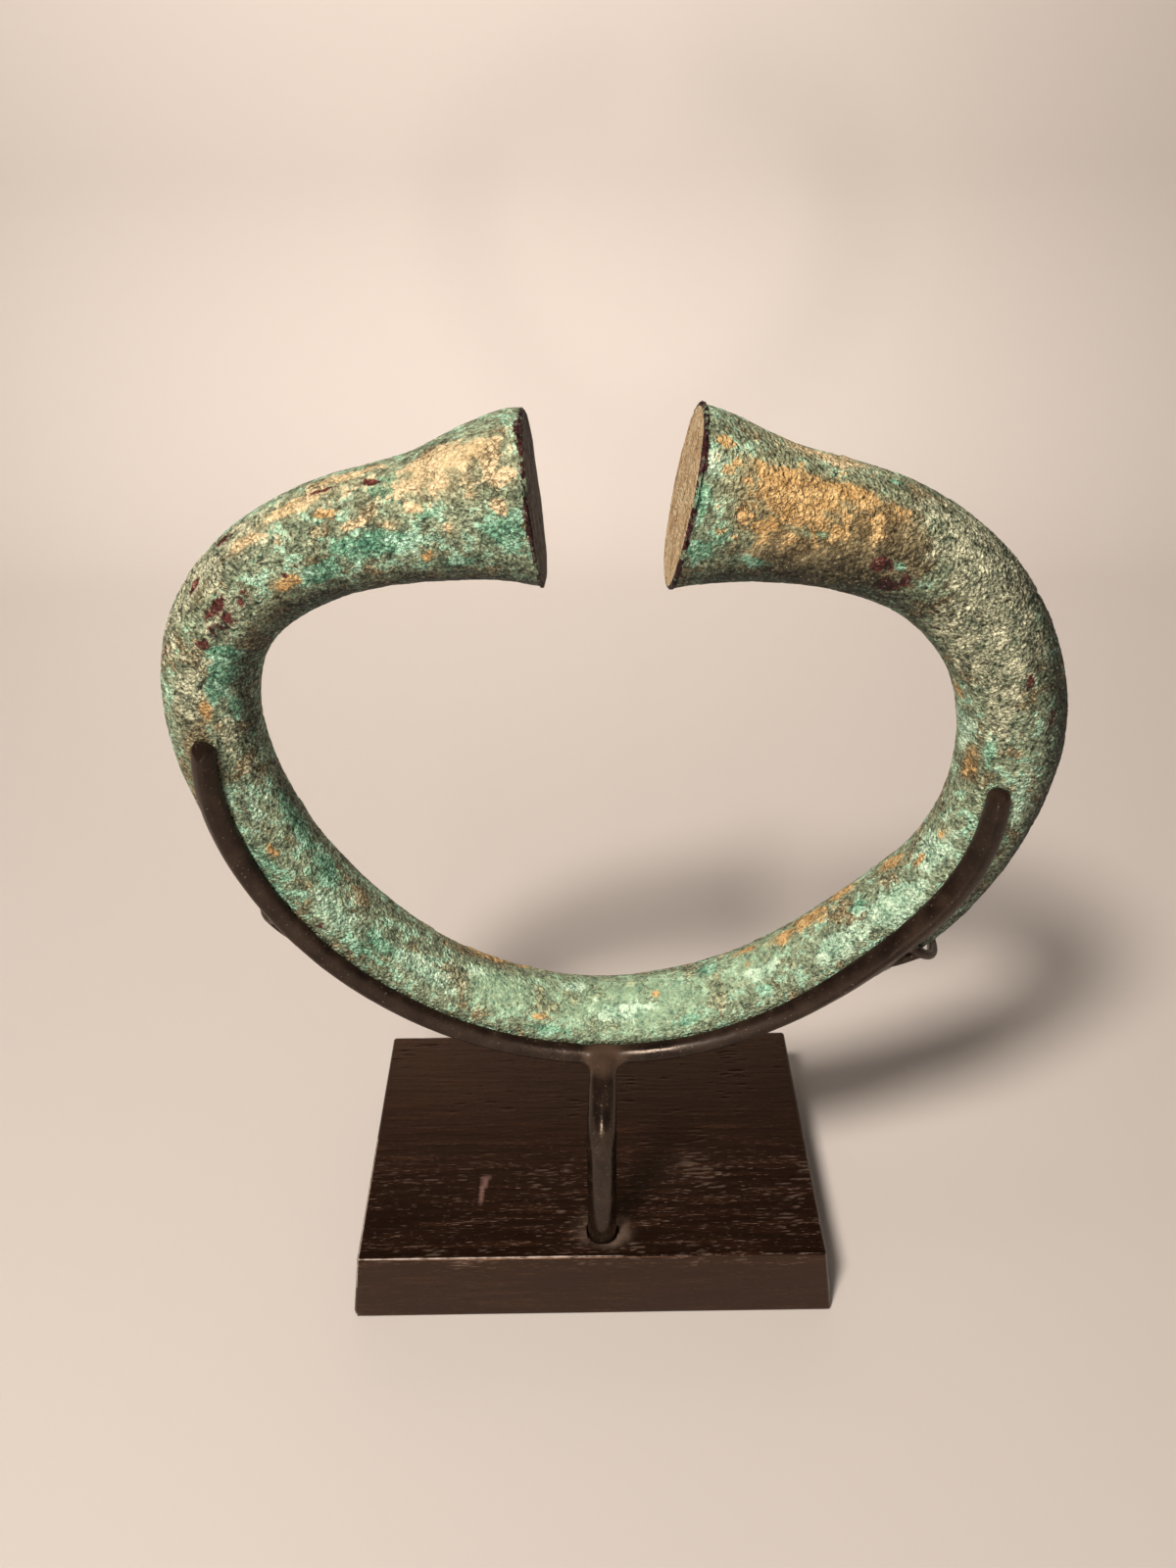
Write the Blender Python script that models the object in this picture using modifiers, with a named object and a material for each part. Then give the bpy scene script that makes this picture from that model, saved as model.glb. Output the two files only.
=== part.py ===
"""A manilla, a cast ring of copper alloy that is open at the top, on its display stand.

The ring stands upright in a dark metal cradle: a post, a long strap along the front of the ring
and two short prongs that pass under it and rise behind it. The post stands in a tapered block of
dark wood. Origin under the middle of the block, +Z up, the front of the stand towards -Y, metres.
"""

import math

import bmesh
import bpy
import numpy as np
from mathutils import Vector

# Wooden block
BASE_TOP_WIDTH = 0.126
BASE_TOP_DEPTH = 0.080
BASE_HEIGHT = 0.022
BASE_FLARE = 0.003  # how far each side leans out from the top to the bottom
BASE_EDGE = 0.0008  # width of the eased edges
POST_HOLE_FLOOR = 0.010  # wood left under the post's hole

# Ring
RING_WIDTH = 0.1945  # across the outside
RING_LIFT = 0.0495  # from the top of the block to the lowest point of the ring
RING_OFFSET = 0.006  # middle of the ring, to the right of the middle of the block
RING_SETBACK = 0.023  # plane of the ring, behind the post's foot
BAR_THICKNESS = 0.020  # where the bar is thinnest, at the bottom
LEFT_END_HEIGHT = 0.0338
LEFT_END_DEPTH = 0.032
RIGHT_END_HEIGHT = 0.0358
RIGHT_END_DEPTH = 0.0284
LEFT_FACE_LEAN = 4.5  # degrees that the end face leans away from the mouth at its top
RIGHT_FACE_LEAN = 3
END_SQUARENESS = 0.5  # added to the exponent of the rounded section at the ends
RIM_RADIUS = 0.0009  # the worn rim of each end face

# Round the ring from its bottom, in degrees, positive to the right: the radius of the bar's centre
# line as a share of half the ring's width, and how far the bar has swelled, from 0 to 1 at the ends
RING_STATIONS = (
    (-165.7, 0.607, 1.00),
    (-156, 0.630, 0.68),
    (-147, 0.658, 0.385),
    (-130, 0.774, 0.20),
    (-112, 0.876, 0.04),
    (-90, 0.875, 0.00),
    (-75, 0.850, 0.00),
    (-60, 0.837, 0.06),
    (-45, 0.840, 0.07),
    (-30, 0.849, 0.02),
    (0, 0.858, 0.00),
    (16, 0.853, 0.03),
    (32, 0.847, 0.05),
    (52, 0.865, 0.15),
    (64, 0.894, 0.10),
    (76, 0.906, 0.07),
    (90, 0.902, 0.15),
    (112, 0.846, 0.18),
    (130, 0.749, 0.27),
    (147, 0.647, 0.41),
    (157, 0.615, 0.68),
    (166.3, 0.601, 1.00),
)

# Cradle
POST_RADIUS = 0.004
POST_TOP_RADIUS = 0.0034  # the post thins towards the strap
POST_OFFSET = 0.003  # to the right of the middle of the block
POST_SIDE_LEAN = 0.0009  # how far the post leans to the right on its way up
POST_MARGIN = 0.0037  # wood between the post's hole and the front edge of the block's top
POST_BEND_DROP = 0.018  # the post bends back from this far below the strap
POST_BEND_SHARE = 0.33  # share of that height where the upright and the leaning stretch would meet
STRAP_WIDTH = 0.0070
STRAP_TIP_WIDTH = 0.0052
STRAP_TAPER = 8  # exponent: the higher, the later the strap narrows towards its tips
STRAP_THICKNESS = 0.0036
STRAP_EDGE = 0.0009  # height of the strap's square edge under its domed face
PRONG_RADIUS = 0.00125
LEFT_PRONG_SLACK = 0.0002  # more room between ring and prong under the ring
RIGHT_PRONG_SLACK = 0.0016
PRONG_REACH = 105  # how far round the bar a prong rises behind it, degrees from straight out
LEFT_PRONG_ANGLE = -62.8
RIGHT_PRONG_ANGLE = 54.8
BRAZE_LENGTH = 0.012  # along the strap, where the post joins it
BRAZE_HEIGHT = 0.009

# Round the ring in degrees, and where the strap lies round the bar: 0 is the outside, 90 the front
STRAP_STATIONS = (
    (-94.5, 89),
    (-82, 74),
    (-66, 67),
    (-45, 72),
    (-20, 74),
    (5, 75),
    (30, 79),
    (60, 96),
    (75, 102),
    (84.5, 109),
)

# Fits
SEAT_GAP = 0.0003  # between the ring and the strap
POST_GAP = 0.0003  # between the post and its hole, all round and below
POST_SETBACK = 0.0004  # the post's end stops this much short of the strap's seat

# Fineness of the faces
RING_STEPS = 80
RING_SIDES = 32
RIM_STEPS = 3
STRAP_STEPS = 56
STRAP_DOME_STEPS = 8
TIP_STEPS = 4
ROD_STEPS = 14

POST_Y = -BASE_TOP_DEPTH / 2 + POST_MARGIN + POST_GAP + POST_RADIUS
POST_FOOT_Z = POST_HOLE_FLOOR + POST_GAP
RING_Y = POST_Y + RING_SETBACK
FRONT = np.array((0.0, -1.0, 0.0))


def natural_cubic(knots, values, at):
    """Smooth curve through the values at the knots, with no bend at either end."""
    knots = np.asarray(knots, float)
    values = np.asarray(values, float)
    gap = np.diff(knots)
    slope = np.diff(values) / gap
    count = len(knots)
    system = np.eye(count)
    right = np.zeros(count)
    for i in range(1, count - 1):
        system[i, i - 1:i + 2] = gap[i - 1], 2 * (gap[i - 1] + gap[i]), gap[i]
        right[i] = 6 * (slope[i] - slope[i - 1])
    bend = np.linalg.solve(system, right)
    k = np.clip(np.searchsorted(knots, at) - 1, 0, count - 2)
    a = knots[k + 1] - at
    b = at - knots[k]
    return ((bend[k] * a ** 3 + bend[k + 1] * b ** 3) / (6 * gap[k])
            + (values[k] / gap[k] - bend[k] * gap[k] / 6) * a
            + (values[k + 1] / gap[k] - bend[k + 1] * gap[k] / 6) * b)


def bar_radius(degrees):
    """Distance of the bar's centre line from the ring's centre."""
    angles, shares, _ = zip(*RING_STATIONS)
    return natural_cubic(angles, shares, degrees) * RING_WIDTH / 2


def bar_swell(degrees):
    angles, _, swells = zip(*RING_STATIONS)
    return natural_cubic(angles, swells, degrees)


def half_sizes(degrees):
    """Half the bar's thickness in the ring's plane, and half its depth across that plane."""
    swell = bar_swell(degrees)
    left = degrees < 0
    end_height = np.where(left, LEFT_END_HEIGHT, RIGHT_END_HEIGHT)
    end_depth = np.where(left, LEFT_END_DEPTH, RIGHT_END_DEPTH)
    half_height = (BAR_THICKNESS + swell * (end_height - BAR_THICKNESS)) / 2
    half_depth = (BAR_THICKNESS + swell * (end_depth - BAR_THICKNESS)) / 2
    return half_height, half_depth


def ring_centre():
    """Middle of the ring, so that the underside of its bar clears the block by the lift."""
    bottom = np.linspace(-20, 20, 41)
    drop = (bar_radius(bottom) + half_sizes(bottom)[0]) * np.cos(np.radians(bottom))
    return np.array((RING_OFFSET, RING_Y, BASE_HEIGHT + RING_LIFT + drop.max()))


def centre_line(degrees):
    """Points on the bar's centre line, with the directions along it and out of the ring."""
    turn = np.radians(degrees)[:, None]
    out = np.hstack((np.sin(turn), 0 * turn, -np.cos(turn)))
    along = np.hstack((np.cos(turn), 0 * turn, np.sin(turn)))
    radius = bar_radius(degrees)[:, None]
    step = 0.01
    growth = (bar_radius(degrees + step) - bar_radius(degrees - step))[:, None] / math.radians(2 * step)
    tangent = growth * out + radius * along
    tangent /= np.linalg.norm(tangent, axis=1, keepdims=True)
    outward = np.column_stack((tangent[:, 2], 0 * degrees, -tangent[:, 0]))
    return ring_centre() + radius * out, tangent, outward


def place_on_bar(degrees, round_bar, clearance):
    """Points just off the bar, the way off it, and the way round it, at angles round the bar."""
    centre, _, outward = centre_line(degrees)
    half_height, half_depth = half_sizes(degrees)
    turn = np.radians(round_bar)
    side = half_height * np.cos(turn)
    face = half_depth * np.sin(turn)
    normal = (np.cos(turn) * half_depth)[:, None] * outward + (np.sin(turn) * half_height)[:, None] * FRONT
    normal /= np.linalg.norm(normal, axis=1, keepdims=True)
    point = centre + side[:, None] * outward + face[:, None] * FRONT
    tangent = centre_line(degrees)[1]
    return point + np.asarray(clearance).reshape(-1, 1) * normal, normal, np.cross(tangent, normal)


def collection(name):
    made = bpy.data.collections.new(name)
    bpy.context.scene.collection.children.link(made)
    return made


def material(name, colour, roughness, metallic):
    made = bpy.data.materials.new(name)
    made.use_nodes = True
    shader = made.node_tree.nodes["Principled BSDF"]
    shader.inputs["Base Color"].default_value = (*colour, 1.0)
    shader.inputs["Roughness"].default_value = roughness
    shader.inputs["Metallic"].default_value = metallic
    made.diffuse_color = (*colour, 1.0)
    return made


def add_object(name, mesh, group):
    made = bpy.data.objects.new(name, mesh)
    group.objects.link(made)
    return made


def loft(name, sections, group):
    """A closed skin over a row of sections with equally many points, with a flat cap at each end."""
    rows, count = sections.shape[:2]
    faces = []
    for i in range(rows - 1):
        for j in range(count):
            k = (j + 1) % count
            faces.append((i * count + j, i * count + k, (i + 1) * count + k, (i + 1) * count + j))
    faces.append(tuple(range(count - 1, -1, -1)))
    faces.append(tuple(range((rows - 1) * count, rows * count)))
    mesh = bpy.data.meshes.new(name)
    mesh.from_pydata(sections.reshape(-1, 3).tolist(), [], faces)
    fill = bmesh.new()
    fill.from_mesh(mesh)
    bmesh.ops.recalc_face_normals(fill, faces=fill.faces)
    fill.to_mesh(mesh)
    fill.free()
    return add_object(name, mesh, group)


def rod(name, points, radius, end_radius, group):
    """A round rod through the points, as a closed mesh with flat ends, of one radius or tapering."""
    curve = bpy.data.curves.new(name, "CURVE")
    curve.dimensions = "3D"
    curve.bevel_depth = radius
    curve.bevel_resolution = 3
    curve.use_fill_caps = True
    spline = curve.splines.new("POLY")
    spline.points.add(len(points) - 1)
    shares = np.linspace(1, end_radius / radius, len(points))
    for slot, point, share in zip(spline.points, points, shares):
        slot.co = (*point, 1.0)
        slot.radius = share
    guide = add_object(name + "_line", curve, group)
    bpy.context.view_layer.update()
    solid = bpy.data.meshes.new_from_object(guide.evaluated_get(bpy.context.evaluated_depsgraph_get()))
    weld = bmesh.new()
    weld.from_mesh(solid)
    bmesh.ops.remove_doubles(weld, verts=weld.verts, dist=1e-6)
    bmesh.ops.recalc_face_normals(weld, faces=weld.faces)
    weld.to_mesh(solid)
    weld.free()
    made = add_object(name, solid, group)
    made.matrix_world = guide.matrix_world.copy()
    bpy.data.objects.remove(guide)
    return made


def hide_cutter(cutter):
    cutter.hide_render = True
    cutter.display_type = "WIRE"


def combine(target, tool, operation):
    hide_cutter(tool)
    change = target.modifiers.new(tool.name, "BOOLEAN")
    change.operation = operation
    change.solver = "EXACT"
    change.object = tool


def finish(made, paint, sharp_degrees):
    made.data.materials.clear()
    made.data.materials.append(paint)
    made.data.shade_smooth()
    made.data.set_sharp_from_angle(angle=math.radians(sharp_degrees))


def ring_sections(clearance):
    """The bar's rounded sections from end to end, with a rounded rim at each end face."""
    first = RING_STATIONS[0][0]
    last = RING_STATIONS[-1][0]
    degrees = np.linspace(first, last, RING_STEPS + 1)
    centre, tangent, outward = centre_line(degrees)
    half_height, half_depth = half_sizes(degrees)
    swell = np.clip(bar_swell(degrees), 0, 1)
    exponent = 2 + END_SQUARENESS * swell
    lean = np.radians(np.where(degrees < 0, LEFT_FACE_LEAN, -RIGHT_FACE_LEAN) * swell ** 2)[:, None]
    tilted = np.cos(lean) * outward + np.sin(lean) * tangent
    tangent = np.cos(lean) * tangent - np.sin(lean) * outward
    outward = tilted
    turn = np.linspace(0, 2 * math.pi, RING_SIDES, endpoint=False)

    def section(i, shift, inset):
        power = 2 / exponent[i]
        side = np.sign(np.cos(turn)) * np.abs(np.cos(turn)) ** power * (half_height[i] + clearance - inset)
        face = np.sign(np.sin(turn)) * np.abs(np.sin(turn)) ** power * (half_depth[i] + clearance - inset)
        return centre[i] + shift * tangent[i] + side[:, None] * outward[i] + face[:, None] * FRONT

    rim = [(RIM_RADIUS * (1 - math.cos(t)), RIM_RADIUS * (1 - math.sin(t)))
           for t in np.linspace(0, math.pi / 2, RIM_STEPS + 1)]
    start = [section(0, depth, inset) for inset, depth in reversed(rim)]
    stop = [section(-1, -depth, inset) for inset, depth in rim]
    middle = [section(i, 0, 0) for i in range(1, RING_STEPS)]
    return np.array(start + middle + stop)


def make_ring(group):
    ring = loft("manilla", ring_sections(0), group)
    finish(ring, material("corroded_copper_alloy", (0.20, 0.35, 0.24), 0.85, 0.0), 40)
    return ring


def strap_sections():
    """A bar with a flat inner side and a domed outer side, along the front of the ring."""
    angles, turns = zip(*STRAP_STATIONS)
    degrees = np.linspace(angles[0], angles[-1], STRAP_STEPS + 1)
    seat, normal, across = place_on_bar(degrees, natural_cubic(angles, turns, degrees), SEAT_GAP)
    _, tangent, _ = centre_line(degrees)
    near_tip = np.abs(np.linspace(-1, 1, STRAP_STEPS + 1))
    width = STRAP_WIDTH + (STRAP_TIP_WIDTH - STRAP_WIDTH) * near_tip ** STRAP_TAPER
    dome = np.linspace(0, math.pi, STRAP_DOME_STEPS + 1)

    def section(i, shift, share):
        height = STRAP_EDGE + (STRAP_THICKNESS * (0.6 + 0.4 * share) - STRAP_EDGE) * np.sin(dome)
        side = np.cos(dome) * width[i] / 2 * share
        rise = np.concatenate(((0.0,), height, (0.0,)))
        reach = np.concatenate((side[:1], side, side[-1:]))
        return seat[i] + shift * tangent[i] + rise[:, None] * normal[i] + reach[:, None] * across[i]

    tip = [(math.sin(t) * STRAP_TIP_WIDTH / 2, math.cos(t))
           for t in np.linspace(0, math.pi / 2, TIP_STEPS + 1)[1:]]
    tip[-1] = (tip[-1][0], 0.2)
    start = [section(0, -shift, share) for shift, share in reversed(tip)]
    stop = [section(-1, shift, share) for shift, share in tip]
    middle = [section(i, 0, 1) for i in range(STRAP_STEPS + 1)]
    return np.array(start + middle + stop)


def strap_point(degrees):
    """Middle of the strap at one angle round the ring."""
    angles, turns = zip(*STRAP_STATIONS)
    at = np.array([float(degrees)])
    return place_on_bar(at, natural_cubic(angles, turns, at), SEAT_GAP + STRAP_THICKNESS / 2)


def post_angle():
    """Where round the ring the post meets the strap."""
    reach = bar_radius(np.array([0.0]))[0]
    return math.degrees(math.asin((POST_OFFSET + POST_SIDE_LEAN - RING_OFFSET) / reach))


def post_points():
    """Up from the hole, then back in one smooth bend to the middle of the strap."""
    top = strap_point(post_angle())[0][0]
    bend = np.array((POST_OFFSET, POST_Y, top[2] - POST_BEND_DROP))
    corner = bend + np.array((0, 0, POST_BEND_SHARE * POST_BEND_DROP))
    share = np.linspace(0, 1, ROD_STEPS)[:, None]
    curve = (1 - share) ** 2 * bend + 2 * share * (1 - share) * corner + share ** 2 * top
    return [(POST_OFFSET, POST_Y, POST_FOOT_Z)] + curve.tolist()


def prong_points(angle, room):
    """From the strap, under the bar and up behind it, a little slack under the bar."""
    angles, turns = zip(*STRAP_STATIONS)
    start = natural_cubic(angles, turns, np.array([float(angle)]))[0]
    round_bar = np.linspace(start, -PRONG_REACH, ROD_STEPS)
    slack = room * np.clip(np.cos(np.radians(round_bar)), 0, 1) ** 2
    clearance = SEAT_GAP + PRONG_RADIUS + slack
    place = place_on_bar(np.full(ROD_STEPS, float(angle)), round_bar, clearance)[0]
    return place.tolist()


def make_braze(group):
    """The swelling of brazing metal where the post meets the strap."""
    middle = strap_point(post_angle())[0][0]
    mesh = bpy.data.meshes.new("braze")
    ball = bmesh.new()
    bmesh.ops.create_uvsphere(ball, u_segments=16, v_segments=10, radius=0.5)
    bmesh.ops.scale(ball, vec=(BRAZE_LENGTH, 2 * POST_TOP_RADIUS, BRAZE_HEIGHT), verts=ball.verts)
    lean = post_points()
    way = Vector(lean[-1]) - Vector(lean[-2])
    bmesh.ops.rotate(ball, matrix=Vector((0, 0, 1)).rotation_difference(way).to_matrix(), verts=ball.verts)
    bmesh.ops.translate(ball, vec=Vector(middle), verts=ball.verts)
    ball.to_mesh(mesh)
    ball.free()
    return add_object("braze", mesh, group)


def make_cradle(group, cutters):
    cradle = loft("cradle", strap_sections(), group)
    seat = loft("ring_seat", ring_sections(SEAT_GAP + POST_SETBACK), cutters)
    post = rod("post", post_points(), POST_RADIUS, POST_TOP_RADIUS, cutters)
    braze = make_braze(cutters)
    combine(post, braze, "UNION")
    combine(post, seat, "DIFFERENCE")
    combine(cradle, post, "UNION")
    for name, angle, room in (("left_prong", LEFT_PRONG_ANGLE, LEFT_PRONG_SLACK),
                              ("right_prong", RIGHT_PRONG_ANGLE, RIGHT_PRONG_SLACK)):
        prong = rod(name, prong_points(angle, room), PRONG_RADIUS, PRONG_RADIUS, cutters)
        combine(cradle, prong, "UNION")
    finish(cradle, material("blackened_steel", (0.035, 0.026, 0.022), 0.45, 1.0), 40)
    return cradle


def make_base(group, cutters):
    """A tapered block with eased edges and a blind hole for the post."""
    mesh = bpy.data.meshes.new("base")
    block = bmesh.new()
    bmesh.ops.create_cube(block, size=1.0)
    for corner in block.verts:
        spread = 0 if corner.co.z > 0 else BASE_FLARE
        x = math.copysign(BASE_TOP_WIDTH / 2 + spread, corner.co.x)
        y = math.copysign(BASE_TOP_DEPTH / 2 + spread, corner.co.y)
        corner.co = (x, y, BASE_HEIGHT if corner.co.z > 0 else 0.0)
    block.to_mesh(mesh)
    block.free()
    base = add_object("base", mesh, group)
    ease = base.modifiers.new("eased_edges", "BEVEL")
    ease.width = BASE_EDGE
    ease.segments = 2
    ease.limit_method = "ANGLE"
    drill_mesh = bpy.data.meshes.new("post_hole")
    drill = bmesh.new()
    overshoot = 0.002
    depth = BASE_HEIGHT - POST_HOLE_FLOOR + overshoot
    radius = POST_RADIUS + POST_GAP
    bmesh.ops.create_cone(drill, cap_ends=True, segments=32, radius1=radius, radius2=radius, depth=depth)
    drill.to_mesh(drill_mesh)
    drill.free()
    hole = add_object("post_hole", drill_mesh, cutters)
    hole.location = (POST_OFFSET, POST_Y, BASE_HEIGHT + overshoot - depth / 2)
    combine(base, hole, "DIFFERENCE")
    finish(base, material("ebonised_wood", (0.022, 0.014, 0.010), 0.45, 0.0), 30)
    return base


def main():
    for old in list(bpy.data.objects):
        bpy.data.objects.remove(old)
    parts = collection("manilla_on_stand")
    cutters = collection("cutters")
    make_ring(parts)
    make_cradle(parts, cutters)
    make_base(parts, cutters)


main()
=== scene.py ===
"""Looks of a manilla, an old cast ring of copper alloy that is open at the top, on its stand.

The ring is a crusted casting, the cradle is hand-forged and brazed dark steel, and the block is
ebonised open-pored wood. Metres, +Z up, the front of the stand towards -Y, as in the CAD frame.
"""

import itertools
import math

import bpy
import numpy as np
from mathutils import Matrix, Vector


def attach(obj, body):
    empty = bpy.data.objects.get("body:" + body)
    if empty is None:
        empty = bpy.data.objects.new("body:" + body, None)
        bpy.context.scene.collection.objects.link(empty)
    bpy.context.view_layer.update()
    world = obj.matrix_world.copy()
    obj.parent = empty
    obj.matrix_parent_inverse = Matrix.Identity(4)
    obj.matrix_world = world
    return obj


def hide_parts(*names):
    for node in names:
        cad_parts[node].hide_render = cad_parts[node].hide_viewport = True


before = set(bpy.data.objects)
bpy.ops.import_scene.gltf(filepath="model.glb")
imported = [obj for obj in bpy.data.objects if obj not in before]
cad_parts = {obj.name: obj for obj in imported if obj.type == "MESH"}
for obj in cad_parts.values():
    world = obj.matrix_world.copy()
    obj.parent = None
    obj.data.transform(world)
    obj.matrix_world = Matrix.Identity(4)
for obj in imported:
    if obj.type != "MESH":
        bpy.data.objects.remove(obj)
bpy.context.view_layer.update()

MM = 0.001

# Wooden block
BASE_TOP_WIDTH = 0.126
BASE_TOP_DEPTH = 0.080
BASE_HEIGHT = 0.022
BASE_FLARE = 0.003
BASE_EDGE = 0.0009
POST_HOLE_FLOOR = 0.010

# Ring, with the leans of its end faces in degrees
RING_WIDTH = 0.1945
RING_LIFT = 0.0495
RING_OFFSET = 0.006
RING_SETBACK = 0.023
BAR_THICKNESS = 0.020
LEFT_END_HEIGHT = 0.0338
LEFT_END_DEPTH = 0.032
RIGHT_END_HEIGHT = 0.0358
RIGHT_END_DEPTH = 0.0284
LEFT_FACE_LEAN = 4.5
RIGHT_FACE_LEAN = 3
END_SQUARENESS = 0.5
RIM_RADIUS = 0.0009

# Round the ring from its bottom, in degrees, positive to the right: the radius of the bar's centre
# line as a share of half the ring's width, and how far the bar has swelled, from 0 to 1 at the ends
RING_STATIONS = (
    (-165.7, 0.607, 1.00),
    (-156, 0.630, 0.68),
    (-147, 0.658, 0.385),
    (-130, 0.774, 0.20),
    (-112, 0.876, 0.04),
    (-90, 0.875, 0.00),
    (-75, 0.850, 0.00),
    (-60, 0.837, 0.06),
    (-45, 0.840, 0.07),
    (-30, 0.849, 0.02),
    (0, 0.858, 0.00),
    (16, 0.853, 0.03),
    (32, 0.847, 0.05),
    (52, 0.865, 0.15),
    (64, 0.894, 0.10),
    (76, 0.906, 0.07),
    (90, 0.902, 0.15),
    (112, 0.846, 0.18),
    (130, 0.749, 0.27),
    (147, 0.647, 0.41),
    (157, 0.615, 0.68),
    (166.3, 0.601, 1.00),
)

# Cradle, with the prongs' reach, places and feet in degrees; STRAP_TAPER is the power by which the
# strap narrows towards its tips
POST_RADIUS = 0.004
POST_TOP_RADIUS = 0.0034
POST_OFFSET = 0.003
POST_SIDE_LEAN = 0.0009
POST_MARGIN = 0.0037
POST_BEND_DROP = 0.018
POST_BEND_SHARE = 0.33
STRAP_WIDTH = 0.0070
STRAP_TIP_WIDTH = 0.0052
STRAP_TAPER = 8
STRAP_THICKNESS = 0.0036
STRAP_EDGE = 0.0009
PRONG_RADIUS = 0.00125
LEFT_PRONG_SLACK = 0.0002
RIGHT_PRONG_SLACK = 0.0016
PRONG_REACH = 105
LEFT_PRONG_ANGLE = -62.8
RIGHT_PRONG_ANGLE = 54.8
FOOT_LENGTH = 5.2
BRAZE_LENGTH = 0.012
BRAZE_HEIGHT = 0.009

# Round the ring in degrees, and where the strap lies round the bar: 0 is the outside, 90 the front
STRAP_STATIONS = (
    (-94.5, 89),
    (-82, 74),
    (-66, 67),
    (-45, 72),
    (-20, 74),
    (5, 75),
    (30, 79),
    (60, 96),
    (75, 102),
    (84.5, 109),
)

# Gaps that stand for contact, and what follows from the sizes above
SEAT_GAP = 0.0003
POST_GAP = 0.0003
POST_Y = -BASE_TOP_DEPTH / 2 + POST_MARGIN + POST_GAP + POST_RADIUS
POST_FOOT_Z = POST_HOLE_FLOOR + POST_GAP
RING_Y = POST_Y + RING_SETBACK
FRONT = np.array((0.0, -1.0, 0.0))

# Fineness of the ring's skin: rows along the bar, points round it, rows round each rim and over each
# end face
RING_ROWS = 905
RING_SIDES = 98
RIM_ROWS = 5
FACE_ROWS = 26

# Fineness of the cradle: rows of the strap, points round its crown, its seat and a rod, and the cells of
# the skin over them all
STRAP_ROWS = 460
CROWN_POINTS = 29
SEAT_POINTS = 9
ROD_SIDES = 40
SKIN_CELL = 0.36 * MM

# Fineness of the block: its cells along the grain, across it and up its sides, and the hole's sides
BLOCK_CELLS = (0.95 * MM, 0.30 * MM, 0.60 * MM)
HOLE_SIDES = 96

# Near its ends the bar runs on by about this many millimetres for each degree round the ring
MM_A_DEGREE = 1.05

# The pale scuff on the block's top: its place from the block's middle, which is to the left and in
# front, and its length in mm
SCAR_PLACE = (-30.6 * MM, -18.9 * MM)
SCAR_LENGTH = 11.2

# The crust's patches, from the photograph: degrees round the ring, degrees round the bar
# (0 the outside, 90 the front, 180 the inside), half the length, half the breadth, strength
OCHRE_PATCHES = (
    (-134, 50, 2, 6, 0.60),
    (-147, 104, 1.6, 9, 0.70),
    (-126.3, 95, 1.6, 8, 0.80),
    (-101.6, 100, 2.2, 9, 0.85),
    (-98, 112, 1.6, 7, 0.60),
    (-75.2, 111, 1.6, 6, 0.80),
    (-66, 124, 2.0, 6, 0.55),
    (-13, 125, 1.8, 7, 0.55),
    (-25, 212, 16, 14, 0.55),
    (28, 162, 1.4, 6, 0.65),
    (9, 160, 1.6, 6, 0.50),
    (28, 192, 4, 10, 0.65),
    (36, 178, 4, 14, 0.70),
    (42, 188, 5, 16, 0.80),
    (50, 196, 4, 12, 0.75),
    (61, 186, 4, 14, 0.75),
    (66, 158, 2.2, 8, 0.65),
    (74, 152, 2.0, 14, 0.60),
    (89, 150, 5, 13, 0.55),
    (103, 166, 2.0, 12, 0.75),
    (110, 156, 1.6, 8, 0.65),
    (163.3, 33, 2.2, 6, 0.95),
    (152, 46, 9, 14, 0.80),
    (142, 46, 8, 13, 0.85),
    (152, 86, 5, 12, 0.70),
    (146, 66, 7, 12, 0.55),
    (135, 52, 5, 12, 0.60),
    (148, 62, 17, 42, 0.64),
)
CREAM_PATCHES = (
    (-157, 34, 6, 16, 0.90),
    (-151, 22, 7, 12, 0.85),
    (-162, 58, 3, 9, 0.75),
    (-161, 78, 2, 7, 0.60),
    (-157, 66, 2, 8, 0.60),
    (-138, 10, 6, 8, 0.85),
    (-131, 30, 5, 11, 0.90),
    (-124, 42, 4, 10, 0.75),
    (-147, 64, 3, 7, 0.75),
    (-142, 72, 2, 6, 0.70),
    (-137, 66, 1.6, 6, 0.70),
    (-152, 84, 2, 8, 0.65),
    (-152, 40, 15, 32, 0.62),
    (-134, 26, 14, 22, 0.45),
    # The next patch lightens the top of the right arm where the light falls on it: painted light, not crust
    (146, 2, 14, 18, 0.60),
)
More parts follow.
